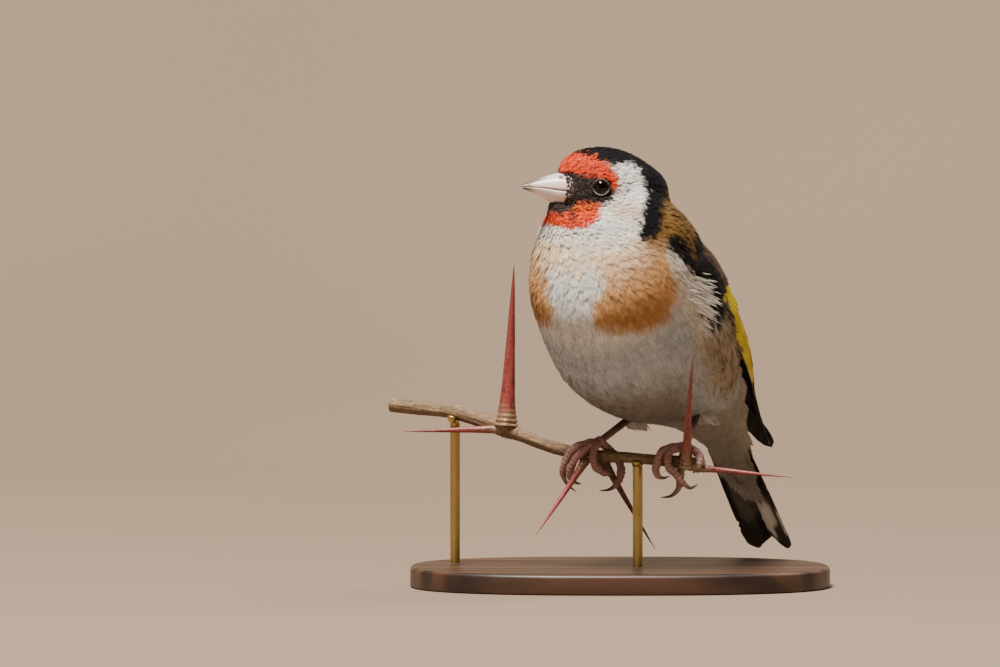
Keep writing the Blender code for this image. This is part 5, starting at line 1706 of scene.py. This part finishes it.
def thorn_curve(row, count):
    root, middle, tip, radius = row
    root, middle, tip = (np.array(p) for p in (root, middle, tip))
    share = np.linspace(0, 1, count)[:, None] ** 1.15
    bent = 2 * middle - (root + tip) / 2
    path = root * (1 - share) ** 2 + 2 * share * (1 - share) * bent + tip * share**2
    share = share[:, 0]
    size = radius * (1 - share) ** 0.75 * (0.7 + 0.3 * (1 - share) ** 8)
    return share, path, np.maximum(size, 0.07)


def thorn_piece(row, seed):
    share, path, size = thorn_curve(row, 150)
    turn = np.arange(28) * 2 * math.pi / 28
    _, side, rise = path_frames(path, UP + np.array([0.3, 0.2, 0.0]))
    run = share[:, None] * np.linalg.norm(path[-1] - path[0])
    streak = 0.03 * np.sin(6 * turn[None] + 0.4 * run + seed) * np.sin(11 * turn[None] + 1.1 * run)
    collar = 0.1 * np.sin(run * 5.5) * np.exp(-run / 2.4)
    radius = size[:, None] * (1 + streak + collar)
    rings = path[:, None] + radius[..., None] * (
        side[:, None] * np.cos(turn)[None, :, None] + rise[:, None] * np.sin(turn)[None, :, None]
    )
    points, faces = loft_arrays(rings)
    obj = new_object("thorn", points, faces)
    run = np.concatenate([np.repeat(run[:, 0], 28), [0, run[-1, 0]]])
    part = np.concatenate([np.repeat(share, 28), [0, 1]])
    around = np.concatenate([np.tile(turn, len(share)), [0, 0]])
    mark = ripple(points, 1.6, 50 + seed)
    colour = mixed(np.tile(BARK["tan"], (len(points), 1)), BARK["thorn"], ease(run + mark, 1.5, 6.5))
    colour = mixed(colour, BARK["thorn_deep"], 0.55 * ease(np.sin(around * 4 + run * 0.3) + mark, 0.3, 1.4))
    colour = mixed(colour, BARK["thorn_tip"], 0.7 * ease(part, 0.9, 1.0))
    colour = mixed(colour, BARK["dark"], np.full(len(points), 0.75 * (seed == SHADED_THORN)))
    paint(obj, colour)
    return obj


def twig_piece():
    x = np.linspace(TWIG[0][0], TWIG[-1][0], 460)
    turn = np.arange(64) * 2 * math.pi / 64
    middle, _, front, up = twig_frame(x)
    radius = along(TWIG, x)[:, 1]
    swell = np.zeros(len(x))
    for row in THORNS:
        swell += 0.22 * np.exp(-(((x - row[0][0]) / 1.5) ** 2))
    wrinkle = np.zeros((len(x), len(turn)))
    for k, (waves, pull) in enumerate(((5, 0.25), (8, -0.4), (13, 0.5), (21, -0.8))):
        wrinkle += 0.028 / (1 + 0.35 * k) * np.sin(waves * turn[None] + pull * x[:, None] + 1.7 * k)
    rings_ = 0.035 * np.sin(x * 7 + 2 * np.sin(x * 0.9))[:, None] * (swell[:, None] > 0.08)
    knot = 0.05 * np.sin(x * 0.61 + 1)[:, None] * np.sin(turn + x[:, None] * 0.12)
    size = radius[:, None] * (1 + wrinkle + knot) + swell[:, None] * 0.5 + rings_
    size[0] *= 0.94
    size[-1] *= 0.94
    rings = middle[:, None] + size[..., None] * (
        front[:, None] * np.cos(turn)[None, :, None] + up[:, None] * np.sin(turn)[None, :, None]
    )
    caps = [rings[0][None] * 0.0 + middle[0] + (rings[0] - middle[0]) * f for f in (0.25, 0.55, 0.85)]
    ends = [middle[-1] + (rings[-1] - middle[-1]) * f for f in (0.85, 0.55, 0.25)]
    rings = np.concatenate([np.concatenate(caps), rings, np.stack(ends)])
    points, faces = loft_arrays(rings)
    obj = new_object("twig", points, faces)
    blotch = ripple(points, 5.0, 60)
    streak = ripple(points * np.array([0.25, 1, 1]), 0.7, 61)
    away = points - twig_point(np.clip(points[:, 0], TWIG[0][0], TWIG[-1][0]))
    # Painted shade: the bark turns darker towards its underside.
    below = ease(-unit(away)[:, 2], -0.1, 0.8)
    colour = mixed(np.tile(BARK["tan"], (len(points), 1)), BARK["light"], 0.7 * ease(blotch, 0.0, 1.0))
    colour = mixed(colour, BARK["dark"], 0.45 * ease(streak, 0.1, 0.9))
    colour = mixed(colour, BARK["green"], 0.35 * ease(ripple(points, 8.0, 63), 0.2, 1.0))
    colour = mixed(colour, BARK["dark"], 0.4 * below)
    count = 3 * 64
    for part in (slice(0, count), slice(len(points) - 2 - count, len(points))):
        off = np.linalg.norm(away[part], axis=1)
        ring = 0.5 + 0.5 * np.sin(off * 2 * math.pi / 0.33)
        wood = mixed(np.tile(BARK["wood"], (len(off), 1)), BARK["pith"], 0.35 * ring + 0.5 * (off < 0.25))
        colour[part] = wood
    colour[-2] = BARK["pith"]
    paint(obj, colour)
    return obj


def scatter_tree(name, material, grain_size, density, seed):
    """Geometry Nodes tree that sets small flattened bumps over the faces of the piece."""
    tree = bpy.data.node_groups.new(name, "GeometryNodeTree")
    face = tree.interface
    face.new_socket("Geometry", in_out="INPUT", socket_type="NodeSocketGeometry")
    size = face.new_socket("Bump radius", in_out="INPUT", socket_type="NodeSocketFloat")
    amount = face.new_socket("Bumps per square metre", in_out="INPUT", socket_type="NodeSocketFloat")
    start = face.new_socket("Seed", in_out="INPUT", socket_type="NodeSocketInt")
    face.new_socket("Geometry", in_out="OUTPUT", socket_type="NodeSocketGeometry")
    taken = tree.nodes.new("NodeGroupInput")
    given = tree.nodes.new("NodeGroupOutput")
    spots = add_node(
        tree, "GeometryNodeDistributePointsOnFaces",
        {"Mesh": taken.outputs[0], "Density": taken.outputs[2], "Seed": taken.outputs[3]},
    )
    bump = add_node(tree, "GeometryNodeMeshIcoSphere", {"Radius": taken.outputs[1], "Subdivisions": 1})
    flat = add_node(
        tree, "GeometryNodeTransform", {"Geometry": bump.outputs[0], "Scale": (1.0, 1.5, 0.45)}
    )
    scale = add_node(
        tree, "FunctionNodeRandomValue", {2: 0.5, 3: 1.3, "Seed": taken.outputs[3]}, data_type="FLOAT"
    )
    put = add_node(
        tree, "GeometryNodeInstanceOnPoints",
        {"Points": spots.outputs["Points"], "Instance": flat.outputs[0],
         "Rotation": spots.outputs["Rotation"], "Scale": scale.outputs[1]},
    )
    real = add_node(tree, "GeometryNodeRealizeInstances", {0: put.outputs[0]})
    dressed = add_node(
        tree, "GeometryNodeSetMaterial", {"Geometry": real.outputs[0], "Material": material}
    )
    tree.links.new(dressed.outputs[0], given.inputs[0])
    return tree, {size.identifier: grain_size * MM, amount.identifier: density, start.identifier: seed}


def lenticels(twig, material):
    """Small pale corky bumps, scattered over the bark."""
    obj = bpy.data.objects.new("lenticels", twig.data.copy())
    bpy.context.scene.collection.objects.link(obj)
    tree, values = scatter_tree("lenticel_scatter", material, 0.13, 1.1e5, 5)
    modifier = obj.modifiers.new("scatter", "NODES")
    modifier.node_group = tree
    for key, value in values.items():
        modifier[key] = value
    settle(obj)
    spots = points_of(obj)
    tone = 0.3 + 0.4 * ripple(spots, 3.0, 70)
    paint(obj, mixed(np.tile(BARK["light"], (len(spots), 1)), BARK["wood"], np.clip(tone, 0, 1)))
    return obj


def bark_material(name):
    """Dry bark: lengthwise fibres and shallow cracks catch the light, matt all over."""
    material, tree, shader, place_ = new_material(name)
    colour = add_node(tree, "ShaderNodeAttribute", attribute_name="Plumage")
    stretched = add_node(tree, "ShaderNodeMapping", {"Vector": place_, "Scale": (0.22, 1.0, 1.0)})
    fibre = add_node(
        tree, "ShaderNodeTexNoise",
        {"Vector": stretched.outputs[0], "Scale": per_mm(0.42), "Detail": 7.0, "Roughness": 0.65},
    )
    crack = add_node(
        tree, "ShaderNodeTexVoronoi", {"Vector": stretched.outputs[0], "Scale": per_mm(0.8)},
        feature="DISTANCE_TO_EDGE",
    )
    split = add_node(
        tree, "ShaderNodeMapRange", {"Value": crack.outputs["Distance"], "From Max": 0.08, "To Min": 0.6}
    )
    shade = add_node(
        tree, "ShaderNodeMapRange",
        {"Value": fibre.outputs["Fac"], "From Min": 0.3, "From Max": 0.7, "To Min": 0.68, "To Max": 1.28},
    )
    both = add_node(tree, "ShaderNodeMath", {0: shade.outputs[0], 1: split.outputs[0]}, operation="MULTIPLY")
    toned = add_node(
        tree, "ShaderNodeVectorMath", {0: colour.outputs["Color"], 1: both.outputs[0]}, operation="MULTIPLY"
    )
    tree.links.new(toned.outputs[0], shader.inputs["Base Color"])
    height = add_node(
        tree, "ShaderNodeMath", {0: fibre.outputs["Fac"], 1: split.outputs[0]}, operation="MULTIPLY"
    )
    bump = add_node(tree, "ShaderNodeBump", {"Height": height.outputs[0], "Strength": 0.8, "Distance": 0.12 * MM})
    tree.links.new(bump.outputs[0], shader.inputs["Normal"])
    rough = add_node(
        tree, "ShaderNodeMapRange", {"Value": fibre.outputs["Fac"], "To Min": 0.66, "To Max": 0.9}
    )
    tree.links.new(rough.outputs[0], shader.inputs["Roughness"])
    shader.inputs["IOR"].default_value = 1.5
    return material


def stained_wood_material(name):
    """Dark stained wood under satin varnish: grain runs across the base, pores darker."""
    material, tree, shader, place_ = new_material(name)
    stretched = add_node(tree, "ShaderNodeMapping", {"Vector": place_, "Scale": (0.09, 1.0, 1.0)})
    wave = add_node(
        tree, "ShaderNodeTexWave",
        {"Vector": stretched.outputs[0], "Scale": per_mm(26.0), "Distortion": 7.0, "Detail": 4.0,
         "Detail Scale": 1.6},
        bands_direction="Y",
    )
    fine = add_node(
        tree, "ShaderNodeTexNoise", {"Vector": stretched.outputs[0], "Scale": per_mm(0.6), "Detail": 6.0}
    )
    blend = add_node(
        tree, "ShaderNodeMath", {0: fine.outputs["Fac"], 1: 0.45, 2: wave.outputs["Fac"]},
        operation="MULTIPLY_ADD",
    )
    tint = add_node(
        tree, "ShaderNodeValToRGB", {"Fac": blend.outputs[0]},
        stops=((0.15, "#24140c"), (0.6, "#3c2618"), (1.0, "#523524")),
    )
    tree.links.new(tint.outputs["Color"], shader.inputs["Base Color"])
    rough = add_node(
        tree, "ShaderNodeMapRange", {"Value": fine.outputs["Fac"], "To Min": 0.38, "To Max": 0.55}
    )
    tree.links.new(rough.outputs[0], shader.inputs["Roughness"])
    bump = add_node(
        tree, "ShaderNodeBump", {"Height": fine.outputs["Fac"], "Strength": 0.25, "Distance": 0.05 * MM}
    )
    tree.links.new(bump.outputs[0], shader.inputs["Normal"])
    shader.inputs["Coat Weight"].default_value = 0.1
    shader.inputs["Coat Roughness"].default_value = 0.3
    return material


def brass_material(name):
    """Satin brass, drawn lengthwise, with faint tarnish."""
    material, tree, shader, place_ = new_material(name)
    drawn = add_node(tree, "ShaderNodeMapping", {"Vector": place_, "Scale": (1.0, 1.0, 0.04)})
    line = add_node(tree, "ShaderNodeTexNoise", {"Vector": drawn.outputs[0], "Scale": per_mm(0.18)})
    cloud = add_node(tree, "ShaderNodeTexNoise", {"Vector": place_, "Scale": per_mm(3.5), "Detail": 4.0})
    tint = add_node(
        tree, "ShaderNodeValToRGB", {"Fac": cloud.outputs["Fac"]},
        stops=((0.3, "#b3985a"), (0.55, "#c0a564"), (0.8, "#c8ae70")),
    )
    tree.links.new(tint.outputs["Color"], shader.inputs["Base Color"])
    rough = add_node(
        tree, "ShaderNodeMapRange", {"Value": line.outputs["Fac"], "To Min": 0.22, "To Max": 0.42}
    )
    tree.links.new(rough.outputs[0], shader.inputs["Roughness"])
    bump = add_node(
        tree, "ShaderNodeBump", {"Height": line.outputs["Fac"], "Strength": 0.2, "Distance": 0.02 * MM}
    )
    tree.links.new(bump.outputs[0], shader.inputs["Normal"])
    shader.inputs["Metallic"].default_value = 1.0
    return material


def rod_saddle(x):
    """Small brass half ring on top of a rod, in which the twig rests."""
    middle, run, front, up = twig_frame(x)
    radius = float(along(TWIG, x)[1])
    turn = np.radians(np.linspace(200, 340, 29))
    ring = front * np.cos(turn)[:, None] + up * np.sin(turn)[:, None]
    section = np.arange(12) * 2 * math.pi / 12
    rings = (middle + ring * (radius + 0.5))[:, None] + 0.45 * np.cos(section)[None, :, None] * ring[:, None]
    return loft("rod_saddle", rings + 0.9 * np.sin(section)[None, :, None] * run)


def stand_base_piece():
    across, deep = round_section(128, 2.6)
    rows = []
    half_x, half_y = BASE_SIZE[0] / 2, BASE_SIZE[1] / 2
    turn = np.linspace(0, math.pi / 2, 7)
    profile = [(0.0, 0.5 * BASE_EDGE), (0.25 * BASE_EDGE, 0.12 * BASE_EDGE), (0.5 * BASE_EDGE, 0.0)]
    profile += [(BASE_HEIGHT - BASE_EDGE * (1 - math.sin(a)), BASE_EDGE * (1 - math.cos(a))) for a in turn]
    profile += [(BASE_HEIGHT, BASE_EDGE + 3.0), (BASE_HEIGHT, BASE_EDGE + 12.0)]
    for z, inset in profile:
        rows.append(np.stack([across * (half_x - inset), deep * (half_y - inset), np.full(128, z)], -1))
    return loft("stand_plinth", np.stack(rows))


def dress(obj, material, *nodes, slot=None):
    """Gives a piece its material, makes it ride the body and takes the place of its nodes."""
    obj.data.materials.clear()
    obj.data.materials.append(material)
    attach(obj, BODY)
    if nodes:
        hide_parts(*nodes)
    return obj


coat_look = feather_material("Contour feather barbs, unpreened", "Plumage", 0.25, 0.7, 0.03)
skin_look = feather_material("Down under the coat", "Plumage", 0.3, 0.85, 0.02)
vane_look = vane_material("Flight feather vane, zipped barbs")
horn_look = painted_material("Bill horn, worn smooth", 0.36, 0.5, 0.15, 0.25, 0.03)
claw_look = painted_material("Claw horn, worn", 0.34, 0.5, 0.1, 0.2, 0.02)
scale_look = painted_material("Leg scales, dry", 0.52, 0.45, 0.0, 0.14, 0.04, 1.5, 0.2)
eye_look = painted_material("Eye under its tear film", 0.04, 0.5, 0.0, 0.5, 0.0, 1.38, 0.15)
lid_look = painted_material("Bare lid skin, moist", 0.4, 0.5, 0.0, 0.1, 0.05, 1.45, 0.2)
bark_look = bark_material("Bark, dry and weathered")
thorn_look = painted_material("Thorn, smooth young bark", 0.4, 0.45, 0.05, 0.3, 0.04, 1.5, 0.25)
cork_look = painted_material("Lenticel cork, raised", 0.85, 0.3, 0.0, 0.1, 0.05, 1.5, 0.2)
wood_look = stained_wood_material("Stained hardwood, satin varnish")
brass_look = brass_material("Brass rod, drawn and satin brushed")

outer = outer_body()
spots, normals = points_of(outer), normals_of(outer)
skin = bpy.data.objects.new("skin", outer.data.copy())
bpy.context.scene.collection.objects.link(skin)
inner = hollow_for_eyes(spots - normals * coat_depth(spots)[:, None])
move_points(skin, sink_under_wings(inner, normals))
# The skin under the coat takes the coat's colours at 0.8: painted shade in the depth between the tufts.
paint(skin, plumage(spots, 0.4) * 0.8)
lay_uv(skin, unwrap(spots))
dress(skin, skin_look, "head", "neck", "torso", slot="feather_torso")

envelope = bpy.data.objects.new("envelope", outer.data.copy())
bpy.context.scene.collection.objects.link(envelope)
cover = Surface(fused("envelope", [envelope, wing_shell(1), wing_shell(-1)], 0.8, 8))


BILL_BARE = 9.7  # the face's feathers cover the bill's base as far forward as this


def roots_clear(places):
    """Keeps roots off the eyes and the bill and out from under the wings."""
    clear = np.ones(len(places), bool)
    for centre, look in eye_places():
        away = places - centre
        reach = away @ look
        off = np.linalg.norm(away - reach[:, None] * look, axis=1)
        clear &= (off > LID_RADIUS + 0.2) | (reach < 0)
    ahead, aside, up = head_coords(places)
    clear &= (ahead < BILL_BARE) | (abs(aside) > bill_width(ahead, up) + 0.1)
    from_root = places - tail_point(0.0, 0.0, 0.0)
    high = from_root @ TAIL_BACK
    clear &= (from_root @ TAIL_AXIS > -10.0) | (high < -1.0) | (high > 0.6)
    clear &= from_root @ TAIL_AXIS > -26.5
    near, _ = cover.nearest(places)
    return clear & (np.linalg.norm(near - places, axis=1) < 0.4)


roots = spread_roots(
    outer, lambda places: np.array([TUFTS[name][0] for name in coat_regions(places)]), roots_clear
)
regions = coat_regions(roots)
bare = Surface(outer)
side_of = body_coords(roots)[1] > 0
NODE_OF = {"face": "head", "head": "head", "neck": "neck"}
SLOT_OF = {"head": "feather_head", "neck": "feather_neck", "torso": "feather_torso"}
for name, size in TUFTS.items():
    for side, half in (("left", side_of), ("right", ~side_of)):
        chosen = roots[(regions == name) & half]
        chosen = chosen[off_the_wings(chosen, lie(chosen), size[1], cover, bare)]
        tufts = lay_tufts(
            "coat_" + name + "_" + side, chosen, cover, lie(chosen), size, coat_depth(chosen),
            lambda places: plumage(places, 0.45), extra=fluff(chosen),
        )
        node = NODE_OF.get(name, "torso")
        dress(tufts, coat_look, node, slot=SLOT_OF[node])
bill_form = fused("bill_form", [bill_half("upper", True), bill_half("lower", False)], 0.35, 3)
bristles = bristle_roots()
forward = np.tile(HEAD_AXIS, (len(bristles), 1)) + 0.25 * CHANCE.normal(size=(len(bristles), 3))
tufts = lay_tufts(
    "coat_bristles", bristles, Surface(bill_form), forward, BRISTLES, np.full(len(bristles), 0.3),
    lambda places: plumage(places, 0.3), 0.8, 0.15,
)
dress(tufts, coat_look, "head", slot="feather_head")
k, aside = np.meshgrid(np.linspace(14, 48, 18), np.linspace(-6, 6, 9), indexing="ij")
below = new_object("below_tail", tail_point(k, aside, -2.1 - 0.03 * (30 - k) * (k < 30)).reshape(-1, 3), [
    (i * 9 + j, i * 9 + j + 1, i * 9 + j + 10, i * 9 + j + 9) for i in range(17) for j in range(8)
])
k, aside = CHANCE.uniform(18, 28.5, UNDERTAIL_COUNT), CHANCE.uniform(-1, 1, UNDERTAIL_COUNT)
coverts = tail_point(k, aside * (3.7 - 0.24 * (k - 18)), np.full(UNDERTAIL_COUNT, -2.1))
tufts = lay_tufts(
    "coat_undertail", coverts, Surface(below), np.tile(-TAIL_AXIS, (UNDERTAIL_COUNT, 1)), UNDERTAIL_TUFT,
    np.full(UNDERTAIL_COUNT, 0.5), lambda places: plumage(places, 0.3), 0.85,
)
dress(tufts, coat_look, "torso", slot="feather_torso")
bpy.data.objects.remove(below)
for name in ("left", "right"):
    sheet = np.array(LEGS[name][1]) + HEEL_SHEET
    hang = new_object("hang", sheet, [(0, 1, 3, 2)])
    beside, below_top = CHANCE.uniform(0, (1, 0.2), (HEEL_HAIRS, 2)).T[:, :, None]
    fall = (sheet[2] - sheet[0]) * (1 - beside) + (sheet[3] - sheet[1]) * beside
    places = sheet[0] + (sheet[1] - sheet[0]) * beside + fall * below_top
    # Heel hairs: white, darkened in wandering patches to the lower belly's painted-shade colour.
    tufts = lay_tufts(
        "coat_thigh_" + name, places, Surface(hang), unit(fall), HEEL_HAIR, np.full(HEEL_HAIRS, 0.3),
        lambda places: mixed(np.tile(PAINT["white"], (len(places), 1)), PAINT["belly_in_shade"],
                             0.7 * ease(ripple(places, 1.2, 83), -0.2, 0.8)), 0.8, 0.2,
    )
    dress(tufts, coat_look, "torso", slot="feather_torso")
    bpy.data.objects.remove(hang)
WING_COAT_PAINT = {
    "coverts": lambda places: mixed(np.tile(PAINT["black"], (len(places), 1)), PAINT["black_soft"],
                                    0.6 * ease(ripple(places, 1.5, 80), 0.0, 1.0)),
    "scapulars": lambda places: mixed(np.tile(PAINT["back"], (len(places), 1)), PAINT["back_dark"],
                                      0.7 * ease(ripple(places, 2.4, 81), -0.1, 0.9)),
    "fringe": lambda places: mixed(np.tile(PAINT["white"], (len(places), 1)), PAINT["cream"],
                                   0.5 * ease(ripple(places, 2.4, 82), -0.1, 0.9)),
}
for kind, (_, _, size) in WING_COAT.items():
    for name, side in (("left", 1), ("right", -1)):
        chosen, headings = wing_coat_roots(side, kind)
        tufts = lay_tufts(
            "coat_" + kind + "_" + name, chosen, cover, headings, size, np.full(len(chosen), 0.55),
            WING_COAT_PAINT[kind], 0.75, 0.3,
        )
        dress(tufts, coat_look, "wing_" + name, slot="feather_wings")
for obj in (outer, bpy.data.objects["envelope"], bill_form):
    bpy.data.objects.remove(obj)

for name, side in (("left", 1), ("right", -1)):
    feathers = wing_feathers("wing_feathers_" + name, side)
    dress(feathers, vane_look, "wing_" + name, slot="feather_wings")
    pad = wing_pad(side)
    pad.name = "wing_body_" + name
    paint(pad, np.tile(WING_PAINT["black"], (len(pad.data.vertices), 1)))
    lay_uv(pad, unwrap(points_of(pad)))
    dress(pad, skin_look, "wing_" + name, slot="feather_wings")
    leg = leg_piece(name)
    dress(leg, scale_look, "leg_" + name, slot="scaled_skin")
    foot, claws = foot_pieces(name)
    dress(foot, scale_look, "foot_" + name, slot="scaled_skin")
    dress(claws, claw_look, "foot_" + name, slot="scaled_skin")
dress(tail_feathers("tail_feathers"), vane_look, "tail", slot="feather_tail")

dress(bill_half("bill_upper_horn", True), horn_look, "bill_upper", slot="horn_bill")
dress(bill_half("bill_lower_horn", False), horn_look, "bill_lower", slot="horn_bill")
lids = []
for name, (centre, look) in zip(("left", "right"), eye_places()):
    dress(eyeball("eyeball_" + name, centre, look), eye_look, "eye_" + name, slot="eye_dark")
    lids.append(eyelid(centre, look))
dress(join("eyelids", lids), lid_look, "head", slot="feather_head")

twig = twig_piece()
dress(lenticels(twig, cork_look), cork_look, "perch", slot="twig_bark")
dress(twig, bark_look, "perch", slot="twig_bark")
thorns = join("thorns", [thorn_piece(row, k) for k, row in enumerate(THORNS)])
dress(thorns, thorn_look, "perch", slot="twig_bark")
dress(stand_base_piece(), wood_look, "stand_base", slot="stand_wood")
for name, x in RODS.items():
    dress(rod_saddle(x), brass_look, slot="stand_brass")
    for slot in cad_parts[name].material_slots:
        slot.material = brass_look


def floor_and_light():
    """Plain pale ground that curves up behind, and a soft key light with a wide fill."""
    side, back, rise, bend = 1.6, 0.9, 1.1, 0.5
    rows = [(-1.2, 0.0), (back - bend, 0.0)]
    rows += [(back - bend + bend * math.sin(a), bend * (1 - math.cos(a)))
             for a in np.linspace(0.1, math.pi / 2, 14)]
    rows += [(back, rise + bend)]
    points = [(x / MM, y / MM, z / MM - 0.05) for y, z in rows for x in (-side, side)]
    faces = [(2 * i, 2 * i + 1, 2 * i + 3, 2 * i + 2) for i in range(len(rows) - 1)]
    floor = new_object("floor", points, faces)
    material, tree, shader, place_ = new_material("Photo paper backdrop, matt")
    cloud = add_node(tree, "ShaderNodeTexNoise", {"Vector": place_, "Scale": 2.0, "Detail": 2.0})
    tint = add_node(
        tree, "ShaderNodeValToRGB", {"Fac": cloud.outputs["Fac"]},
        stops=((0.3, "#88745f"), (0.7, "#907b67")),
    )
    tree.links.new(tint.outputs["Color"], shader.inputs["Base Color"])
    shader.inputs["Roughness"].default_value = 0.9
    side_seen = add_node(tree, "ShaderNodeNewGeometry")
    clear = add_node(tree, "ShaderNodeBsdfTransparent")
    one_sided = add_node(
        tree, "ShaderNodeMixShader",
        {0: side_seen.outputs["Backfacing"], 1: shader.outputs[0], 2: clear.outputs[0]},
    )
    tree.links.new(one_sided.outputs[0], tree.nodes["Material Output"].inputs[0])
    floor.data.materials.append(material)
    staged = [floor]
    for name, spot, size, power, colour in (
        ("key", (-0.34, -0.68, 1.78), 0.55, 94.0, (1.0, 0.97, 0.92)),
        ("fill", (-1.3, -1.2, 0.5), 0.9, 1.6, (0.93, 0.96, 1.0)),
        ("rim", (0.7, 0.4, 1.0), 0.5, 5.0, (1.0, 0.98, 0.94)),
    ):
        data = bpy.data.lights.new(name, "AREA")
        data.shape = "DISK"
        data.size = size
        data.energy = power
        data.color = colour
        lamp = bpy.data.objects.new(name, data)
        lamp.location = spot
        lamp.rotation_euler = (Vector((0, 0, 0.06)) - lamp.location).to_track_quat("-Z", "Y").to_euler()
        bpy.context.scene.collection.objects.link(lamp)
        staged.append(lamp)
    return staged


def camera():
    data = bpy.data.cameras.new("camera")
    data.sensor_width = SENSOR
    data.lens = SENSOR * CAMERA_DISTANCE / FRAME_WIDTH
    data.clip_start = 0.01
    data.dof.use_dof = False
    eye = bpy.data.objects.new("camera", data)
    away = Vector((0, -math.cos(CAMERA_RISE), math.sin(CAMERA_RISE))) * CAMERA_DISTANCE
    eye.location = CAMERA_AIM + away
    eye.rotation_euler = (-away).to_track_quat("-Z", "Y").to_euler()
    bpy.context.scene.collection.objects.link(eye)
    bpy.context.scene.camera = eye
    return eye


world = bpy.data.worlds.new("studio")
world.use_nodes = True
glow = world.node_tree.nodes["Background"]
glow.inputs["Color"].default_value = (0.86, 0.92, 1.0, 1.0)
glow.inputs["Strength"].default_value = 0.08
bpy.context.scene.world = world
staged = floor_and_light()
camera()
